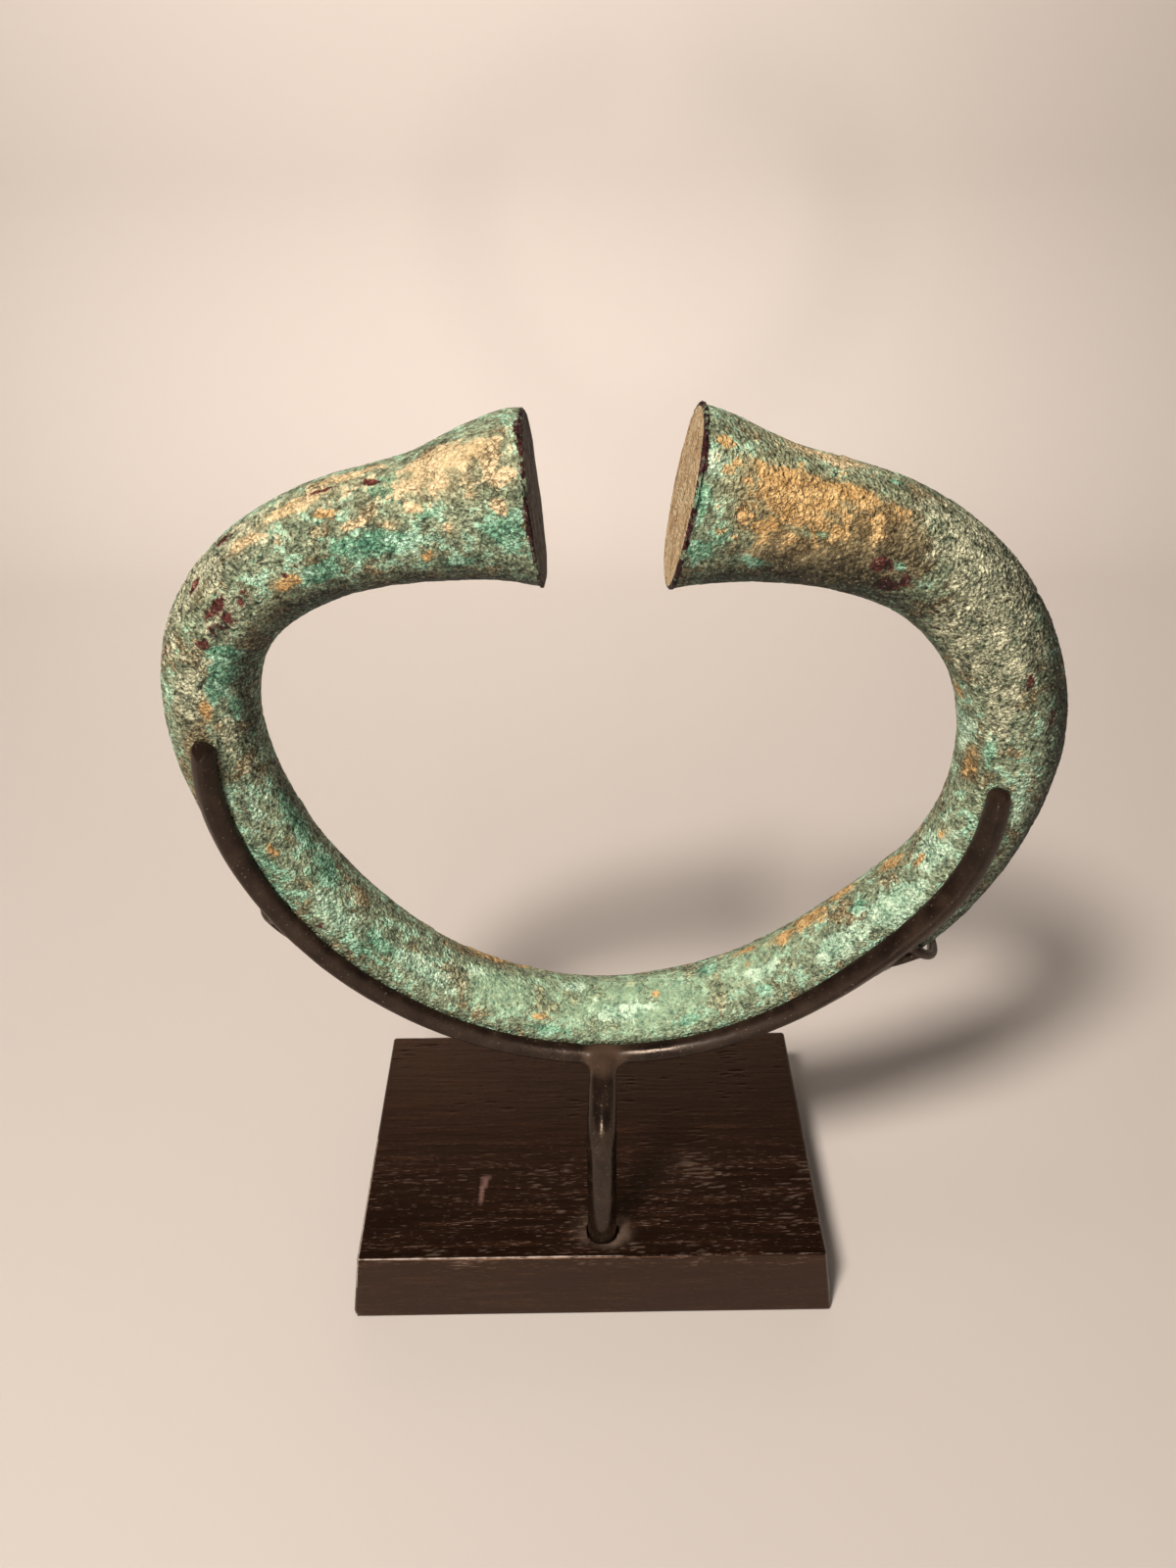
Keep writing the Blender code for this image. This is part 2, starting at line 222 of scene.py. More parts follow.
MALACHITE_PATCHES = (
    (-143, 36, 2.5, 16, 1.0),
    (-139, 86, 7, 14, 1.0),
    (-131, 100, 4, 14, 0.9),
    (-148, 68, 4, 8, 0.9),
    (-160, 92, 5, 12, 0.8),
    (-152, 112, 9, 8, 0.6),
    (-110, 104, 3, 18, 0.9),
    (-76, 160, 10, 16, 0.8),
    (-66, 150, 6, 30, 0.7),
    (-48, 128, 6, 18, 0.7),
    (-12, 108, 6, 9, 0.7),
    (14, 112, 4, 9, 0.8),
    (20, 182, 2.5, 12, 0.9),
    (30, 120, 3, 8, 0.6),
    (52, 160, 3, 10, 0.6),
    (91, 128, 3, 10, 0.7),
    (119, 66, 2.5, 12, 0.8),
    (134, 14, 1.2, 9, 0.8),
    (165, 78, 3, 12, 0.9),
    (163, 104, 3, 13, 0.9),
    (160, 92, 3, 12, 0.6),
    (153, 112, 5, 7, 0.7),
    (145, 84, 5, 6, 0.7),
    (152, 8, 1.8, 5, 0.75),
    (146, 11, 1.6, 5, 0.75),
    (149.5, 74, 2.0, 5, 0.6),
    (131, 96, 2, 6, 0.5),
    (-106, 108, 4, 16, 0.9),
    (-108, 122, 4, 12, 0.7),
    (-101, 134, 3, 9, 0.8),
    (-108, 10, 9, 9, 0.8),
    (-72, 96, 16, 34, 0.5),
    (-50, 110, 10, 20, 0.5),
)
PALE_PATCHES = (
    (-144, 100, 3, 6, 0.6),
    (-97, 12, 8, 18, 0.8),
    (-112, -8, 20, 14, 0.9),
    (-84, 116, 6, 12, 0.6),
    (-58, 122, 8, 22, 0.7),
    (-38, 130, 8, 24, 0.7),
    (-28, 166, 4, 12, 0.6),
    (-7, 178, 3, 12, 0.8),
    (2, 140, 8, 20, 0.6),
    (14, 172, 3, 12, 0.7),
    (30, 145, 5, 18, 0.6),
    (45, 130, 6, 24, 0.8),
    (58, 132, 8, 30, 0.9),
    (70, 150, 6, 30, 0.9),
    (95, 166, 4.5, 24, 1.0),
    (84, 86, 6, 12, 0.6),
    (164.5, 54, 2.2, 10, 0.9),
    (-108, 14, 8, 7, 0.6),
)
STONE_PATCHES = (
    (-121, 52, 7, 9, 0.8),
    (-116, 84, 5, 18, 0.7),
    (-117, 25, 12, 26, 0.9),
    (-103, 78, 7, 22, 0.8),
    (-96, 118, 6, 18, 0.6),
    (-88, 140, 5, 10, 0.5),
    (-31, 150, 4, 30, 0.4),
    (100, 112, 6, 20, 0.8),
    (112, 90, 9, 50, 1.0),
    (120, 50, 9, 40, 1.0),
    (116, 10, 13, 26, 0.9),
    (113, 134, 8, 20, 0.8),
    (128, 30, 5, 20, 0.7),
)
CUPRITE_PATCHES = (
    (-140, 27, 4.0, 5, 0.62),
    (-135, 24, 3.0, 4, 0.60),
    (-126.4, 88, 2.0, 8, 0.60),
    (-124.5, 66, 3.0, 9, 0.55),
    (-120.5, 88, 2.0, 12, 0.70),
    (-116.5, 70, 2.0, 11, 0.66),
    (-115.2, 90, 2.6, 13, 0.72),
    (-112, 82, 1.6, 13, 0.60),
    (-115.8, 35, 1.4, 8, 0.60),
    (-121, 15, 1.4, 14, 0.55),
    (-108, 30, 3.0, 10, 0.40),
    (-87, 138, 2.4, 9, 0.50),
    (-58, 96, 2.6, 10, 0.52),
    (103.2, 82, 1.5, 6, 0.68),
    (96.4, 63, 2.0, 8, 0.62),
    (130.3, 115, 2.0, 8, 0.85),
    (133.5, 98, 1.8, 7, 0.75),
    (128.3, 104, 1.5, 8, 0.80),
    (134.5, 118, 1.0, 6, 0.50),
)
EARTH_PATCHES = (
    (-119, 40, 9, 26, 0.75),
    (-112, 70, 6, 24, 0.40),
    (-122, 120, 8, 34, 0.50),
    (-141, 128, 14, 16, 0.40),
    (-97, 78, 9, 30, 0.7),
    (-92, 96, 5, 14, 0.6),
    (-66, 112, 4, 8, 0.6),
    (-78, 118, 3, 6, 0.6),
    (-28, 196, 18, 26, 0.55),
    (-42, 150, 3, 10, 0.6),
    (142, 104, 15, 32, 1.0),
    (134, 72, 8, 40, 0.85),
    (146, 4, 16, 20, 0.4),
    (130, 20, 9, 22, 0.7),
    (158, 118, 6, 14, 0.5),
    (122, 110, 5, 26, 0.5),
    (89, 150, 5, 18, 0.8),
    (66, 178, 8, 18, 0.5),
    (106, 60, 10, 30, 0.4),
)
# Painted shade, not crust: these patches darken the colour under and inside the arms, along the outer edge of
# the ring's right side, and in a few more places where shade falls
PAINTED_SHADE_PATCHES = (
    (-150, 150, 24, 30, 1.0),
    (-128, 146, 14, 32, 1.0),
    (-112, 144, 12, 28, 0.75),
    (-98, 150, 12, 24, 0.6),
    (-80, 172, 12, 18, 0.45),
    (-60, 62, 30, 22, 0.5),
    (96, 42, 14, 30, 1.0),
    (80, 36, 14, 30, 1.0),
    (62, 40, 14, 30, 0.8),
    (108, 20, 12, 30, 1.0),
    (134, 138, 14, 36, 0.85),
    (150, 146, 22, 32, 1.0),
    (118, 150, 12, 18, 0.5),
    (158, 128, 8, 14, 0.6),
    (-88, 104, 14, 26, 0.25),
)
CALM_PATCHES = (
    (-22, 150, 12, 45, 0.8),
    (4, 150, 22, 60, 1.0),
    (28, 170, 14, 40, 0.7),
    (-150, 165, 20, 22, 0.6),
    (148, 100, 12, 26, 0.5),
    (150, 160, 20, 24, 0.6),
)
PATCHES = {
    "ochre": OCHRE_PATCHES,
    "cream": CREAM_PATCHES,
    "malachite": MALACHITE_PATCHES,
    "pale": PALE_PATCHES,
    "stone": STONE_PATCHES,
    "cuprite": CUPRITE_PATCHES,
    "earth": EARTH_PATCHES,
    "shade": PAINTED_SHADE_PATCHES,
    "calm": CALM_PATCHES,
}

# How strongly each kind is scattered over the ring's unseen back
SCATTER = {"ochre": 0.7, "cream": 0.6, "malachite": 0.8, "pale": 0.8, "stone": 0.8, "cuprite": 0.5,
           "earth": 0.6, "shade": 0.0, "calm": 0.3}

# The photograph's view, found from the block's corners: the camera's place, how far it looks down and
# to the left and how far it rolls, in degrees, and its lens in mm
CAMERA_PLACE = (0.000665, -0.227278, 0.305770)
CAMERA_DOWN = 34.7208
CAMERA_LEFT = -0.0436
CAMERA_ROLL = -0.8181
CAMERA_LENS = 27.045


def natural_cubic(knots, values, at):
    """Smooth curve through the values at the knots, with no bend at either end.

    Between two knots it is a cubic whose bend runs straight from one knot's to the next's, and the
    bends are those for which the cubics' slopes meet at every knot.
    """
    knots = np.asarray(knots, float)
    values = np.asarray(values, float)
    gap = np.diff(knots)
    slope = np.diff(values) / gap
    count = len(knots)
    system = np.eye(count)
    right = np.zeros(count)
    for i in range(1, count - 1):
        system[i, i - 1:i + 2] = gap[i - 1], 2 * (gap[i - 1] + gap[i]), gap[i]
        right[i] = 6 * (slope[i] - slope[i - 1])
    bend = np.linalg.solve(system, right)
    k = np.clip(np.searchsorted(knots, at) - 1, 0, count - 2)
    a = knots[k + 1] - at
    b = at - knots[k]
    return ((bend[k] * a ** 3 + bend[k + 1] * b ** 3) / (6 * gap[k])
            + (values[k] / gap[k] - bend[k] * gap[k] / 6) * a
            + (values[k + 1] / gap[k] - bend[k + 1] * gap[k] / 6) * b)


def smooth_step(low, high, value):
    """0 below low, 1 above high, and 3t^2 - 2t^3 between them; it falls where low is above high."""
    t = np.clip((value - low) / (high - low), 0, 1)
    return t * t * (3 - 2 * t)


def wrapped(degrees):
    """The same angle from -180 to 180 degrees."""
    return (degrees + 180) % 360 - 180


def lattice_noise(points, size, seed):
    """Smooth random field, about -1 to 1, that changes over the given size.

    Each corner of a cubic lattice has a random direction. A point blends the dot products of its
    offsets from the eight corners with their directions, by the fade 6t^5 - 15t^4 + 10t^3, and 1.6
    times the blend fills the range.
    """
    draw = np.random.default_rng(seed)
    order = draw.permutation(256)
    directions = draw.normal(size=(256, 3))
    directions /= np.linalg.norm(directions, axis=1, keepdims=True)
    scaled = points / size
    cell = np.floor(scaled)
    offset = scaled - cell
    cell = cell.astype(np.int64)
    fade = offset ** 3 * (offset * (offset * 6 - 15) + 10)
    total = np.zeros(len(points))
    for corner in itertools.product((0, 1), repeat=3):
        i, j, k = (cell + corner).T & 255
        pick = order[(order[(order[i] + j) & 255] + k) & 255]
        dot = ((offset - corner) * directions[pick]).sum(axis=1)
        total += dot * np.where(corner, fade, 1 - fade).prod(axis=1)
    return 1.6 * total


def layered_noise(points, size, layers, seed):
    """Lattice noise at halving sizes and strengths, added up."""
    total = sum(lattice_noise(points, size / 2 ** k, seed + k) / 2 ** k for k in range(layers))
    return total / (2 - 2 ** (1 - layers))


def cell_noise(points, size, seed):
    """Distance to the nearest of scattered points, one in each cube of the given size, in sizes."""
    draw = np.random.default_rng(seed)
    order = draw.permutation(256)
    places = draw.random((256, 3))
    scaled = points / size
    cell = np.floor(scaled).astype(np.int64)
    nearest = np.full(len(points), 9.0)
    for step in itertools.product((-1, 0, 1), repeat=3):
        i, j, k = (cell + step).T & 255
        pick = order[(order[(order[i] + j) & 255] + k) & 255]
        gap = cell + step + places[pick] - scaled
        nearest = np.minimum(nearest, (gap * gap).sum(axis=1))
    return np.sqrt(nearest)


def bar_radius(degrees):
    """Distance of the bar's centre line from the ring's centre."""
    angles, shares, _ = zip(*RING_STATIONS)
    return natural_cubic(angles, shares, degrees) * RING_WIDTH / 2


def bar_swell(degrees):
    """How far the bar has swelled: 0 where it is slim, 1 at its ends."""
    angles, _, swells = zip(*RING_STATIONS)
    return natural_cubic(angles, swells, degrees)


def half_sizes(degrees):
    """Half the bar's thickness in the ring's plane, and half its depth across that plane."""
    swell = bar_swell(degrees)
    left = degrees < 0
    end_height = np.where(left, LEFT_END_HEIGHT, RIGHT_END_HEIGHT)
    end_depth = np.where(left, LEFT_END_DEPTH, RIGHT_END_DEPTH)
    half_height = (BAR_THICKNESS + swell * (end_height - BAR_THICKNESS)) / 2
    half_depth = (BAR_THICKNESS + swell * (end_depth - BAR_THICKNESS)) / 2
    return half_height, half_depth


def ring_centre():
    """Middle of the ring, so that the underside of its bar clears the block by the lift."""
    bottom = np.linspace(-20, 20, 41)
    drop = (bar_radius(bottom) + half_sizes(bottom)[0]) * np.cos(np.radians(bottom))
    return np.array((RING_OFFSET, RING_Y, BASE_HEIGHT + RING_LIFT + drop.max()))


def centre_line(degrees):
    """Points on the bar's centre line, with the directions along it and out of the ring.

    The direction along it is the way out of the ring times the radius's growth by each radian, plus
    the way round the ring times the radius.
    """
    turn = np.radians(degrees)[:, None]
    out = np.hstack((np.sin(turn), 0 * turn, -np.cos(turn)))
    along = np.hstack((np.cos(turn), 0 * turn, np.sin(turn)))
    radius = bar_radius(degrees)[:, None]
    step = 0.01
    growth = (bar_radius(degrees + step) - bar_radius(degrees - step))[:, None] / math.radians(2 * step)
    tangent = growth * out + radius * along
    tangent /= np.linalg.norm(tangent, axis=1, keepdims=True)
    outward = np.column_stack((tangent[:, 2], 0 * degrees, -tangent[:, 0]))
    return ring_centre() + radius * out, tangent, outward


def strap_turn(degrees):
    """Where round the bar the strap's middle lies, at angles round the ring."""
    angles, turns = zip(*STRAP_STATIONS)
    return natural_cubic(angles, turns, degrees)


def place_on_bar(degrees, round_bar, clearance):
    """Points just off the bar, the way off it, and the way round it, at angles round the bar."""
    centre, tangent, outward = centre_line(degrees)
    half_height, half_depth = half_sizes(degrees)
    turn = np.radians(round_bar)
    side = half_height * np.cos(turn)
    face = half_depth * np.sin(turn)
    normal = (np.cos(turn) * half_depth)[:, None] * outward + (np.sin(turn) * half_height)[:, None] * FRONT
    normal /= np.linalg.norm(normal, axis=1, keepdims=True)
    point = centre + side[:, None] * outward + face[:, None] * FRONT
    return point + np.asarray(clearance).reshape(-1, 1) * normal, normal, np.cross(tangent, normal)


def make_mesh(name, points, faces):
    """An object at the origin from an array of points and a list of faces, shaded smooth."""
    mesh = bpy.data.meshes.new(name)
    mesh.from_pydata(points.tolist(), [], faces)
    mesh.validate()
    mesh.shade_smooth()
    made = bpy.data.objects.new(name, mesh)
    bpy.context.scene.collection.objects.link(made)
    return made


def skin_faces(rows, sides):
    """Quads of a tube of rows that closes round its sides, with a fan to a pole at either end.

    The poles are the two points after the grid's own.
    """
    i, j = np.meshgrid(np.arange(rows - 1), np.arange(sides), indexing="ij")
    k = (j + 1) % sides
    quads = np.stack((i * sides + j, i * sides + k, (i + 1) * sides + k, (i + 1) * sides + j), axis=-1)
    around = np.arange(sides)
    after = (around + 1) % sides
    last = (rows - 1) * sides
    start = np.stack((after, around, np.full(sides, rows * sides)), axis=-1)
    stop = np.stack((last + around, last + after, np.full(sides, rows * sides + 1)), axis=-1)
    return quads.reshape(-1, 4).tolist() + start.tolist() + stop.tolist()


def add_skin(name, grid):
    """A closed skin over a grid of rows, with each end row gathered into a pole at its middle."""
    rows, sides = grid.shape[:2]
    poles = grid[[0, -1]].mean(axis=1)
    return make_mesh(name, np.vstack((grid.reshape(-1, 3), poles)), skin_faces(rows, sides))


def grid_normals(grid):
    """Unit normals of a grid that closes round its sides: one step's cross product with the other's."""
    along = np.gradient(grid, axis=0)
    around = np.roll(grid, -1, axis=1) - np.roll(grid, 1, axis=1)
    normal = np.cross(around, along)
    return normal / np.maximum(np.linalg.norm(normal, axis=2, keepdims=True), 1e-12)


def set_attribute(piece, name, values):
    """Gives each point of the piece a number that its material can read."""
    field = piece.data.attributes.new(name, "FLOAT", "POINT")
    field.data.foreach_set("value", np.asarray(values, np.float32))


def ring_rows():
    """Each row of the ring's skin: angle, size share, inset, shift along the bar, share of end face.

    The rows run from the middle of the left end face to the middle of the right one. Round each rim the
    inset and the shift follow a quarter circle.
    """
    first = RING_STATIONS[0][0]
    last = RING_STATIONS[-1][0]
    body = np.linspace(first, last, RING_ROWS + 1)[1:-1]
    turn = np.linspace(math.pi / 2, 0, RIM_ROWS)
    rim_inset = RIM_RADIUS * (1 - np.cos(turn))
    rim_shift = RIM_RADIUS * (1 - np.sin(turn))
    face = np.linspace(0, 1, FACE_ROWS + 1)[1:-1]
    plain = np.zeros(len(body))
    degrees = np.concatenate((np.full(FACE_ROWS - 1 + RIM_ROWS, first), body,
                              np.full(FACE_ROWS - 1 + RIM_ROWS, last)))
    share = np.concatenate((face, np.ones(RIM_ROWS + len(body) + RIM_ROWS), face[::-1]))
    inset = np.concatenate((0 * face + RIM_RADIUS, rim_inset, plain, rim_inset[::-1], 0 * face + RIM_RADIUS))
    shift = np.concatenate((0 * face, rim_shift, plain, -rim_shift[::-1], 0 * face))
    on_face = np.concatenate((0 * face + 1, np.linspace(1, 0, RIM_ROWS), plain,
                              np.linspace(0, 1, RIM_ROWS), 0 * face + 1))
    return degrees, share, inset, shift, on_face


def ring_grid():
    """Smooth form of the ring as a grid of points, with the rows' angles and the angles round the bar.

    A row is a superellipse across the centre line: half the height times cos^p out of the ring and
    half the depth times sin^p to the front, with p falling as the bar swells to its squarer ends.
    """
    degrees, share, inset, shift, _ = ring_rows()
    centre, tangent, outward = centre_line(degrees)
    half_height, half_depth = half_sizes(degrees)
    swell = np.clip(bar_swell(degrees), 0, 1)
    power = (2 / (2 + END_SQUARENESS * swell))[:, None]
    lean = np.radians(np.where(degrees < 0, LEFT_FACE_LEAN, -RIGHT_FACE_LEAN) * swell ** 2)[:, None]
    tilted = np.cos(lean) * outward + np.sin(lean) * tangent
    tangent = np.cos(lean) * tangent - np.sin(lean) * outward
    turn = np.linspace(0, 2 * math.pi, RING_SIDES, endpoint=False)
    side = np.sign(np.cos(turn)) * np.abs(np.cos(turn)) ** power * (share * (half_height - inset))[:, None]
    face = np.sign(np.sin(turn)) * np.abs(np.sin(turn)) ** power * (share * (half_depth - inset))[:, None]
    middle = centre + shift[:, None] * tangent
    grid = middle[:, None] + side[..., None] * tilted[:, None] + face[..., None] * FRONT
    return grid, degrees, turn


def patch_field(kind, degrees, turn, seed, points):
    """How strongly a kind of crust shows: the strongest of its patches, each a bell with a ragged edge.

    Noise shifts the angles first, by up to about 2 degrees round the ring and 9 round the bar, so that
    the bells lose their round outlines. Out of the photograph's sight, behind the bar, layered noise
    places the patches instead.
    """
    along = degrees + 2.2 * layered_noise(points, 7 * MM, 3, seed)
    around = turn + 9.0 * layered_noise(points, 7 * MM, 3, seed + 10)
    found = np.zeros(len(points))
    for middle, level, length, breadth, strength in PATCHES[kind]:
        aside = wrapped(around - level)
        bell = strength * np.exp(-((along - middle) / length) ** 2 - (aside / breadth) ** 2)
        found = np.maximum(found, bell)
    unseen = smooth_step(0.15, 0.75, -np.sin(np.radians(turn)))
    scatter = smooth_step(0.05, 0.55, layered_noise(points, 15 * MM, 3, seed + 20))
    return np.maximum(found, SCATTER[kind] * unseen * scatter)


def under_cradle(degrees, turn):
    """1 on the skin below the strap and the prongs, where it must not swell into them, 0 far off.

    The strap keeps 6 degrees beyond its tips and 45 to either side of its middle, and a prong 5 to
    either side, from 20 beyond its tip to where the strap takes over.
    """
    nearest = np.clip(degrees, STRAP_STATIONS[0][0], STRAP_STATIONS[-1][0])
    beyond = (nearest - degrees) / 6
    aside = wrapped(turn - strap_turn(nearest)) / 45
    found = smooth_step(1.0, 0.7, np.hypot(beyond, aside))
    for angle in (LEFT_PRONG_ANGLE, RIGHT_PRONG_ANGLE):
        round_back = (turn + PRONG_REACH + 20) % 360 < PRONG_REACH + 120
        found = np.maximum(found, smooth_step(5, 3, np.abs(degrees - angle)) * round_back)
    return found


def from_rim(degrees):
    """Length of bar between each angle and the nearer end of the ring."""
    nearer = np.minimum(degrees - RING_STATIONS[0][0], RING_STATIONS[-1][0] - degrees)
    return nearer * MM_A_DEGREE * MM


def rim_wear(grid, degrees, turn):
    """How far the worn rims are drawn in, as vectors out from the middle of the bar, to be taken off.

    Noise along each rim gives its chips, 0.1 to 0.6 mm deep, and the top of the left rim is worn up to
    0.9 mm more. The end face shrinks with its rim, and along the bar the wear dies out as a bell.
    """
    edge = FACE_ROWS - 1 + RIM_ROWS
    rims = grid[[edge, -1 - edge]]
    worn = 0.10 + 0.50 * smooth_step(-0.1, 0.7, layered_noise(rims.reshape(-1, 3), 7 * MM, 2, 17))
    worn = worn.reshape(rims.shape[:2])
    worn[0] += 0.9 * np.exp(-wrapped(np.degrees(turn)) ** 2 / 45 ** 2)
    spokes = grid - grid.mean(axis=1, keepdims=True)
    reach = np.linalg.norm(spokes[[edge, -1 - edge]], axis=2)
    side = (degrees > 0).astype(int)
    fade = np.exp(-(from_rim(degrees) / (1.8 * MM)) ** 2)
    return (fade[:, None] * (worn / reach)[side] * MM)[..., None] * spokes


def crust_relief(points, kinds):
    """Height of the crust's fine relief in mm, from noise and the share of each kind of crust.

    The crust has ragged raised edges, grains about 1.3 mm across and pits about as wide, most of them
    where it is stony, and the smooth earths are cracked. Calm stretches keep a third of it.
    """
    earthy = np.maximum(kinds["ochre"], kinds["cream"])
    crust_edge = layered_noise(points, 6.5 * MM, 3, 5) + 1.3 * (earthy - 0.45)
    crust = 0.20 * smooth_step(-0.05, 0.10, crust_edge)
    grains = 0.26 * (0.55 - cell_noise(points, 1.35 * MM, 7))
    graininess = 0.7 + 0.9 * kinds["stone"] + 0.4 * kinds["malachite"] - 0.35 * earthy
    pits = 0.30 * smooth_step(0.12, 0.45, layered_noise(points, 1.7 * MM, 2, 9))
    pitting = 0.6 + 1.0 * kinds["stone"] + 0.5 * kinds["cuprite"] - 0.25 * kinds["pale"]
    cracked = 0.28 * smooth_step(0.07, 0.0, np.abs(layered_noise(points, 5 * MM, 2, 11))) * earthy
    relief = (crust + grains * graininess - pits * pitting - cracked) * (1 - 0.65 * kinds["calm"])
    return relief - 0.12 * smooth_step(0.4, 0.9, kinds["cuprite"])


def face_strokes(points, degrees, outward):
    """Height in mm of the strokes that run down the end faces, and of their slow swells.

    The strokes are noise that changes over 1 mm across the face and about 8 mm down it.
    """
    down = 0.12 * (points * outward).sum(axis=1)
    drawn = np.column_stack((down, points @ FRONT, degrees))
    return 0.07 * layered_noise(drawn, 1.0 * MM, 2, 13) + 0.12 * layered_noise(points, 8 * MM, 2, 15)


def make_ring():
    """The cast ring with its crust: the smooth form, moved along its normals by the relief in mm.

    Under the cradle the relief rises by no more than 0.26 mm, which keeps it off the metal.
    """
    grid, degrees, turn = ring_grid()
    normal = grid_normals(grid)
    rows, sides = grid.shape[:2]
    middle = rows // 2
    sense = ((grid[middle] - grid[middle].mean(axis=0)) * normal[middle]).sum()
    normal *= math.copysign(1, sense)
    points = grid.reshape(-1, 3)
    at = np.repeat(degrees, sides)
    round_bar = np.tile(np.degrees(turn), rows)
    on_face = np.repeat(ring_rows()[-1], sides)
    kinds = {kind: patch_field(kind, at, round_bar, 100 + 40 * i, points)
             for i, kind in enumerate(PATCHES)}

    lumps = 0.34 * layered_noise(points, 26 * MM, 2, 1) + 0.20 * layered_noise(points, 8 * MM, 2, 3)
    outward = np.repeat(centre_line(degrees)[2], sides, axis=0)
    relief = crust_relief(points, kinds) * (1 - on_face) + face_strokes(points, at, outward) * on_face
    push = lumps + relief
    highest = 0.26 + 0.5 * (1 - under_cradle(at, round_bar))
    push = np.where(push > 0, np.minimum(push, highest), push) * MM
    moved = (points + push[:, None] * normal.reshape(-1, 3)).reshape(grid.shape)
    ring = add_skin("ring", moved - rim_wear(grid, degrees, turn))

    rim = np.exp(-(from_rim(at) / (1.9 * MM)) ** 2) * (1 - smooth_step(0.75, 1.0, on_face))
    fields = {kind: field * (1 - on_face) for kind, field in kinds.items()}
    fields |= {"relief": relief, "face": on_face, "left_face": on_face * (at < 0), "rim": rim}
    at_poles = {"face": (1, 1), "left_face": (1, 0)}
    for name, field in fields.items():
        set_attribute(ring, name, np.concatenate((field, at_poles.get(name, (0, 0)))))
    return ring


def strap_grid():
    """A half-round bar along the front of the ring: a flat seat and a crowned face in each row.

    Over the crown the height runs as a blend of an arc and a low ridge. Towards each tip the width
    narrows, the plan closes in a quarter circle, and a bevel 3.2 mm long takes the top off.
    """
    first = STRAP_STATIONS[0][0]
    last = STRAP_STATIONS[-1][0]
    tip = np.linspace(0, math.pi / 2, 13)[1:-1]
    middle = np.linspace(first, last, STRAP_ROWS)
    degrees = np.concatenate((np.full(len(tip), first), middle, np.full(len(tip), last)))
    share = np.concatenate((np.cos(tip)[::-1], np.ones(len(middle)), np.cos(tip)))
    shift = np.concatenate((-np.sin(tip)[::-1], np.zeros(len(middle)), np.sin(tip))) * STRAP_TIP_WIDTH / 2
    seat, normal, across = place_on_bar(degrees, strap_turn(degrees), SEAT_GAP)
    tangent = centre_line(degrees)[1]
    near_tip = np.abs(2 * (degrees - first) / (last - first) - 1)
    width = (STRAP_WIDTH + (STRAP_TIP_WIDTH - STRAP_WIDTH) * near_tip ** STRAP_TAPER) * share
    reach = bar_radius(degrees) * np.radians(np.minimum(degrees - first, last - degrees))
    reach = reach + STRAP_TIP_WIDTH / 2 - np.abs(shift)
    bevel = np.clip(0.45 + 0.55 * reach / (3.2 * MM), 0, 1)
    dome = np.linspace(0, math.pi, CROWN_POINTS)
    crown = 0.5 * np.sin(dome) + 0.5 * np.minimum(1, 1.15 * (1 - np.abs(np.cos(dome))))
    height = STRAP_EDGE + (STRAP_THICKNESS - STRAP_EDGE) * crown
    height = np.minimum(height, (STRAP_THICKNESS * bevel)[:, None])
    side = np.cos(dome) * width[:, None] / 2
    under = np.linspace(-1, 1, SEAT_POINTS) * width[:, None] / 2
    rise = np.hstack((height, 0 * under))
    wide = np.hstack((side, under))
    spine = seat + shift[:, None] * tangent
    return spine[:, None] + rise[..., None] * normal[:, None] + wide[..., None] * across[:, None]


def rod_grid(path, radius, across, round_start, round_end):
    """A round rod along a path in one plane: circles of the given radii, square to the path.

    A rounded end is a low cap: it runs on by 0.6 of the radius, which falls to nearly nothing there, as
    a quarter of an ellipse.
    """
    tangent = np.gradient(path, axis=0)
    tangent /= np.linalg.norm(tangent, axis=1, keepdims=True)
    fall = np.linspace(0, math.pi / 2, 9)[1:]
    least = 0.001 * MM
    if round_start:
        cap = path[0] - np.sin(fall)[::-1, None] * radius[0] * 0.6 * tangent[0]
        path = np.vstack((cap, path))
        radius = np.concatenate((np.cos(fall)[::-1] * radius[0] + least, radius))
        tangent = np.vstack((np.repeat(tangent[:1], len(fall), axis=0), tangent))
    if round_end:
        cap = path[-1] + np.sin(fall)[:, None] * radius[-1] * 0.6 * tangent[-1]
        path = np.vstack((path, cap))
        radius = np.concatenate((radius, np.cos(fall) * radius[-1] + least))
        tangent = np.vstack((tangent, np.repeat(tangent[-1:], len(fall), axis=0)))
    second = np.cross(tangent, across)
    turn = np.linspace(0, 2 * math.pi, ROD_SIDES, endpoint=False)
    ring = np.cos(turn)[:, None] * across + np.sin(turn)[:, None] * second[:, None]
    return path[:, None] + radius[:, None, None] * ring


def strap_middle(degrees):
    """Middle of the strap's thickness at one angle round the ring."""
    at = np.array([float(degrees)])
    return place_on_bar(at, strap_turn(at), SEAT_GAP + STRAP_THICKNESS / 2)[0][0]


def post_angle():
    """Where round the ring the post meets the strap."""
    reach = bar_radius(np.array([0.0]))[0]
    return math.degrees(math.asin((POST_OFFSET + POST_SIDE_LEAN - RING_OFFSET) / reach))


def post_path():
    """Up from the hole, then back in one smooth bend to the middle of the strap.

    The bend is a quadratic curve from the straight post to the strap, with its corner point above the
    post: (1 - s)^2 times the first, 2s(1 - s) times the corner and s^2 times the last.
    """
    top = strap_middle(post_angle())
    bend = np.array((POST_OFFSET, POST_Y, top[2] - POST_BEND_DROP))
    corner = bend + np.array((0, 0, POST_BEND_SHARE * POST_BEND_DROP))
    share = np.linspace(0, 1, 40)[:, None]
    curve = (1 - share) ** 2 * bend + 2 * share * (1 - share) * corner + share ** 2 * top
    foot = np.linspace((POST_OFFSET, POST_Y, POST_FOOT_Z), bend, 12, endpoint=False)
    return np.vstack((foot, curve))


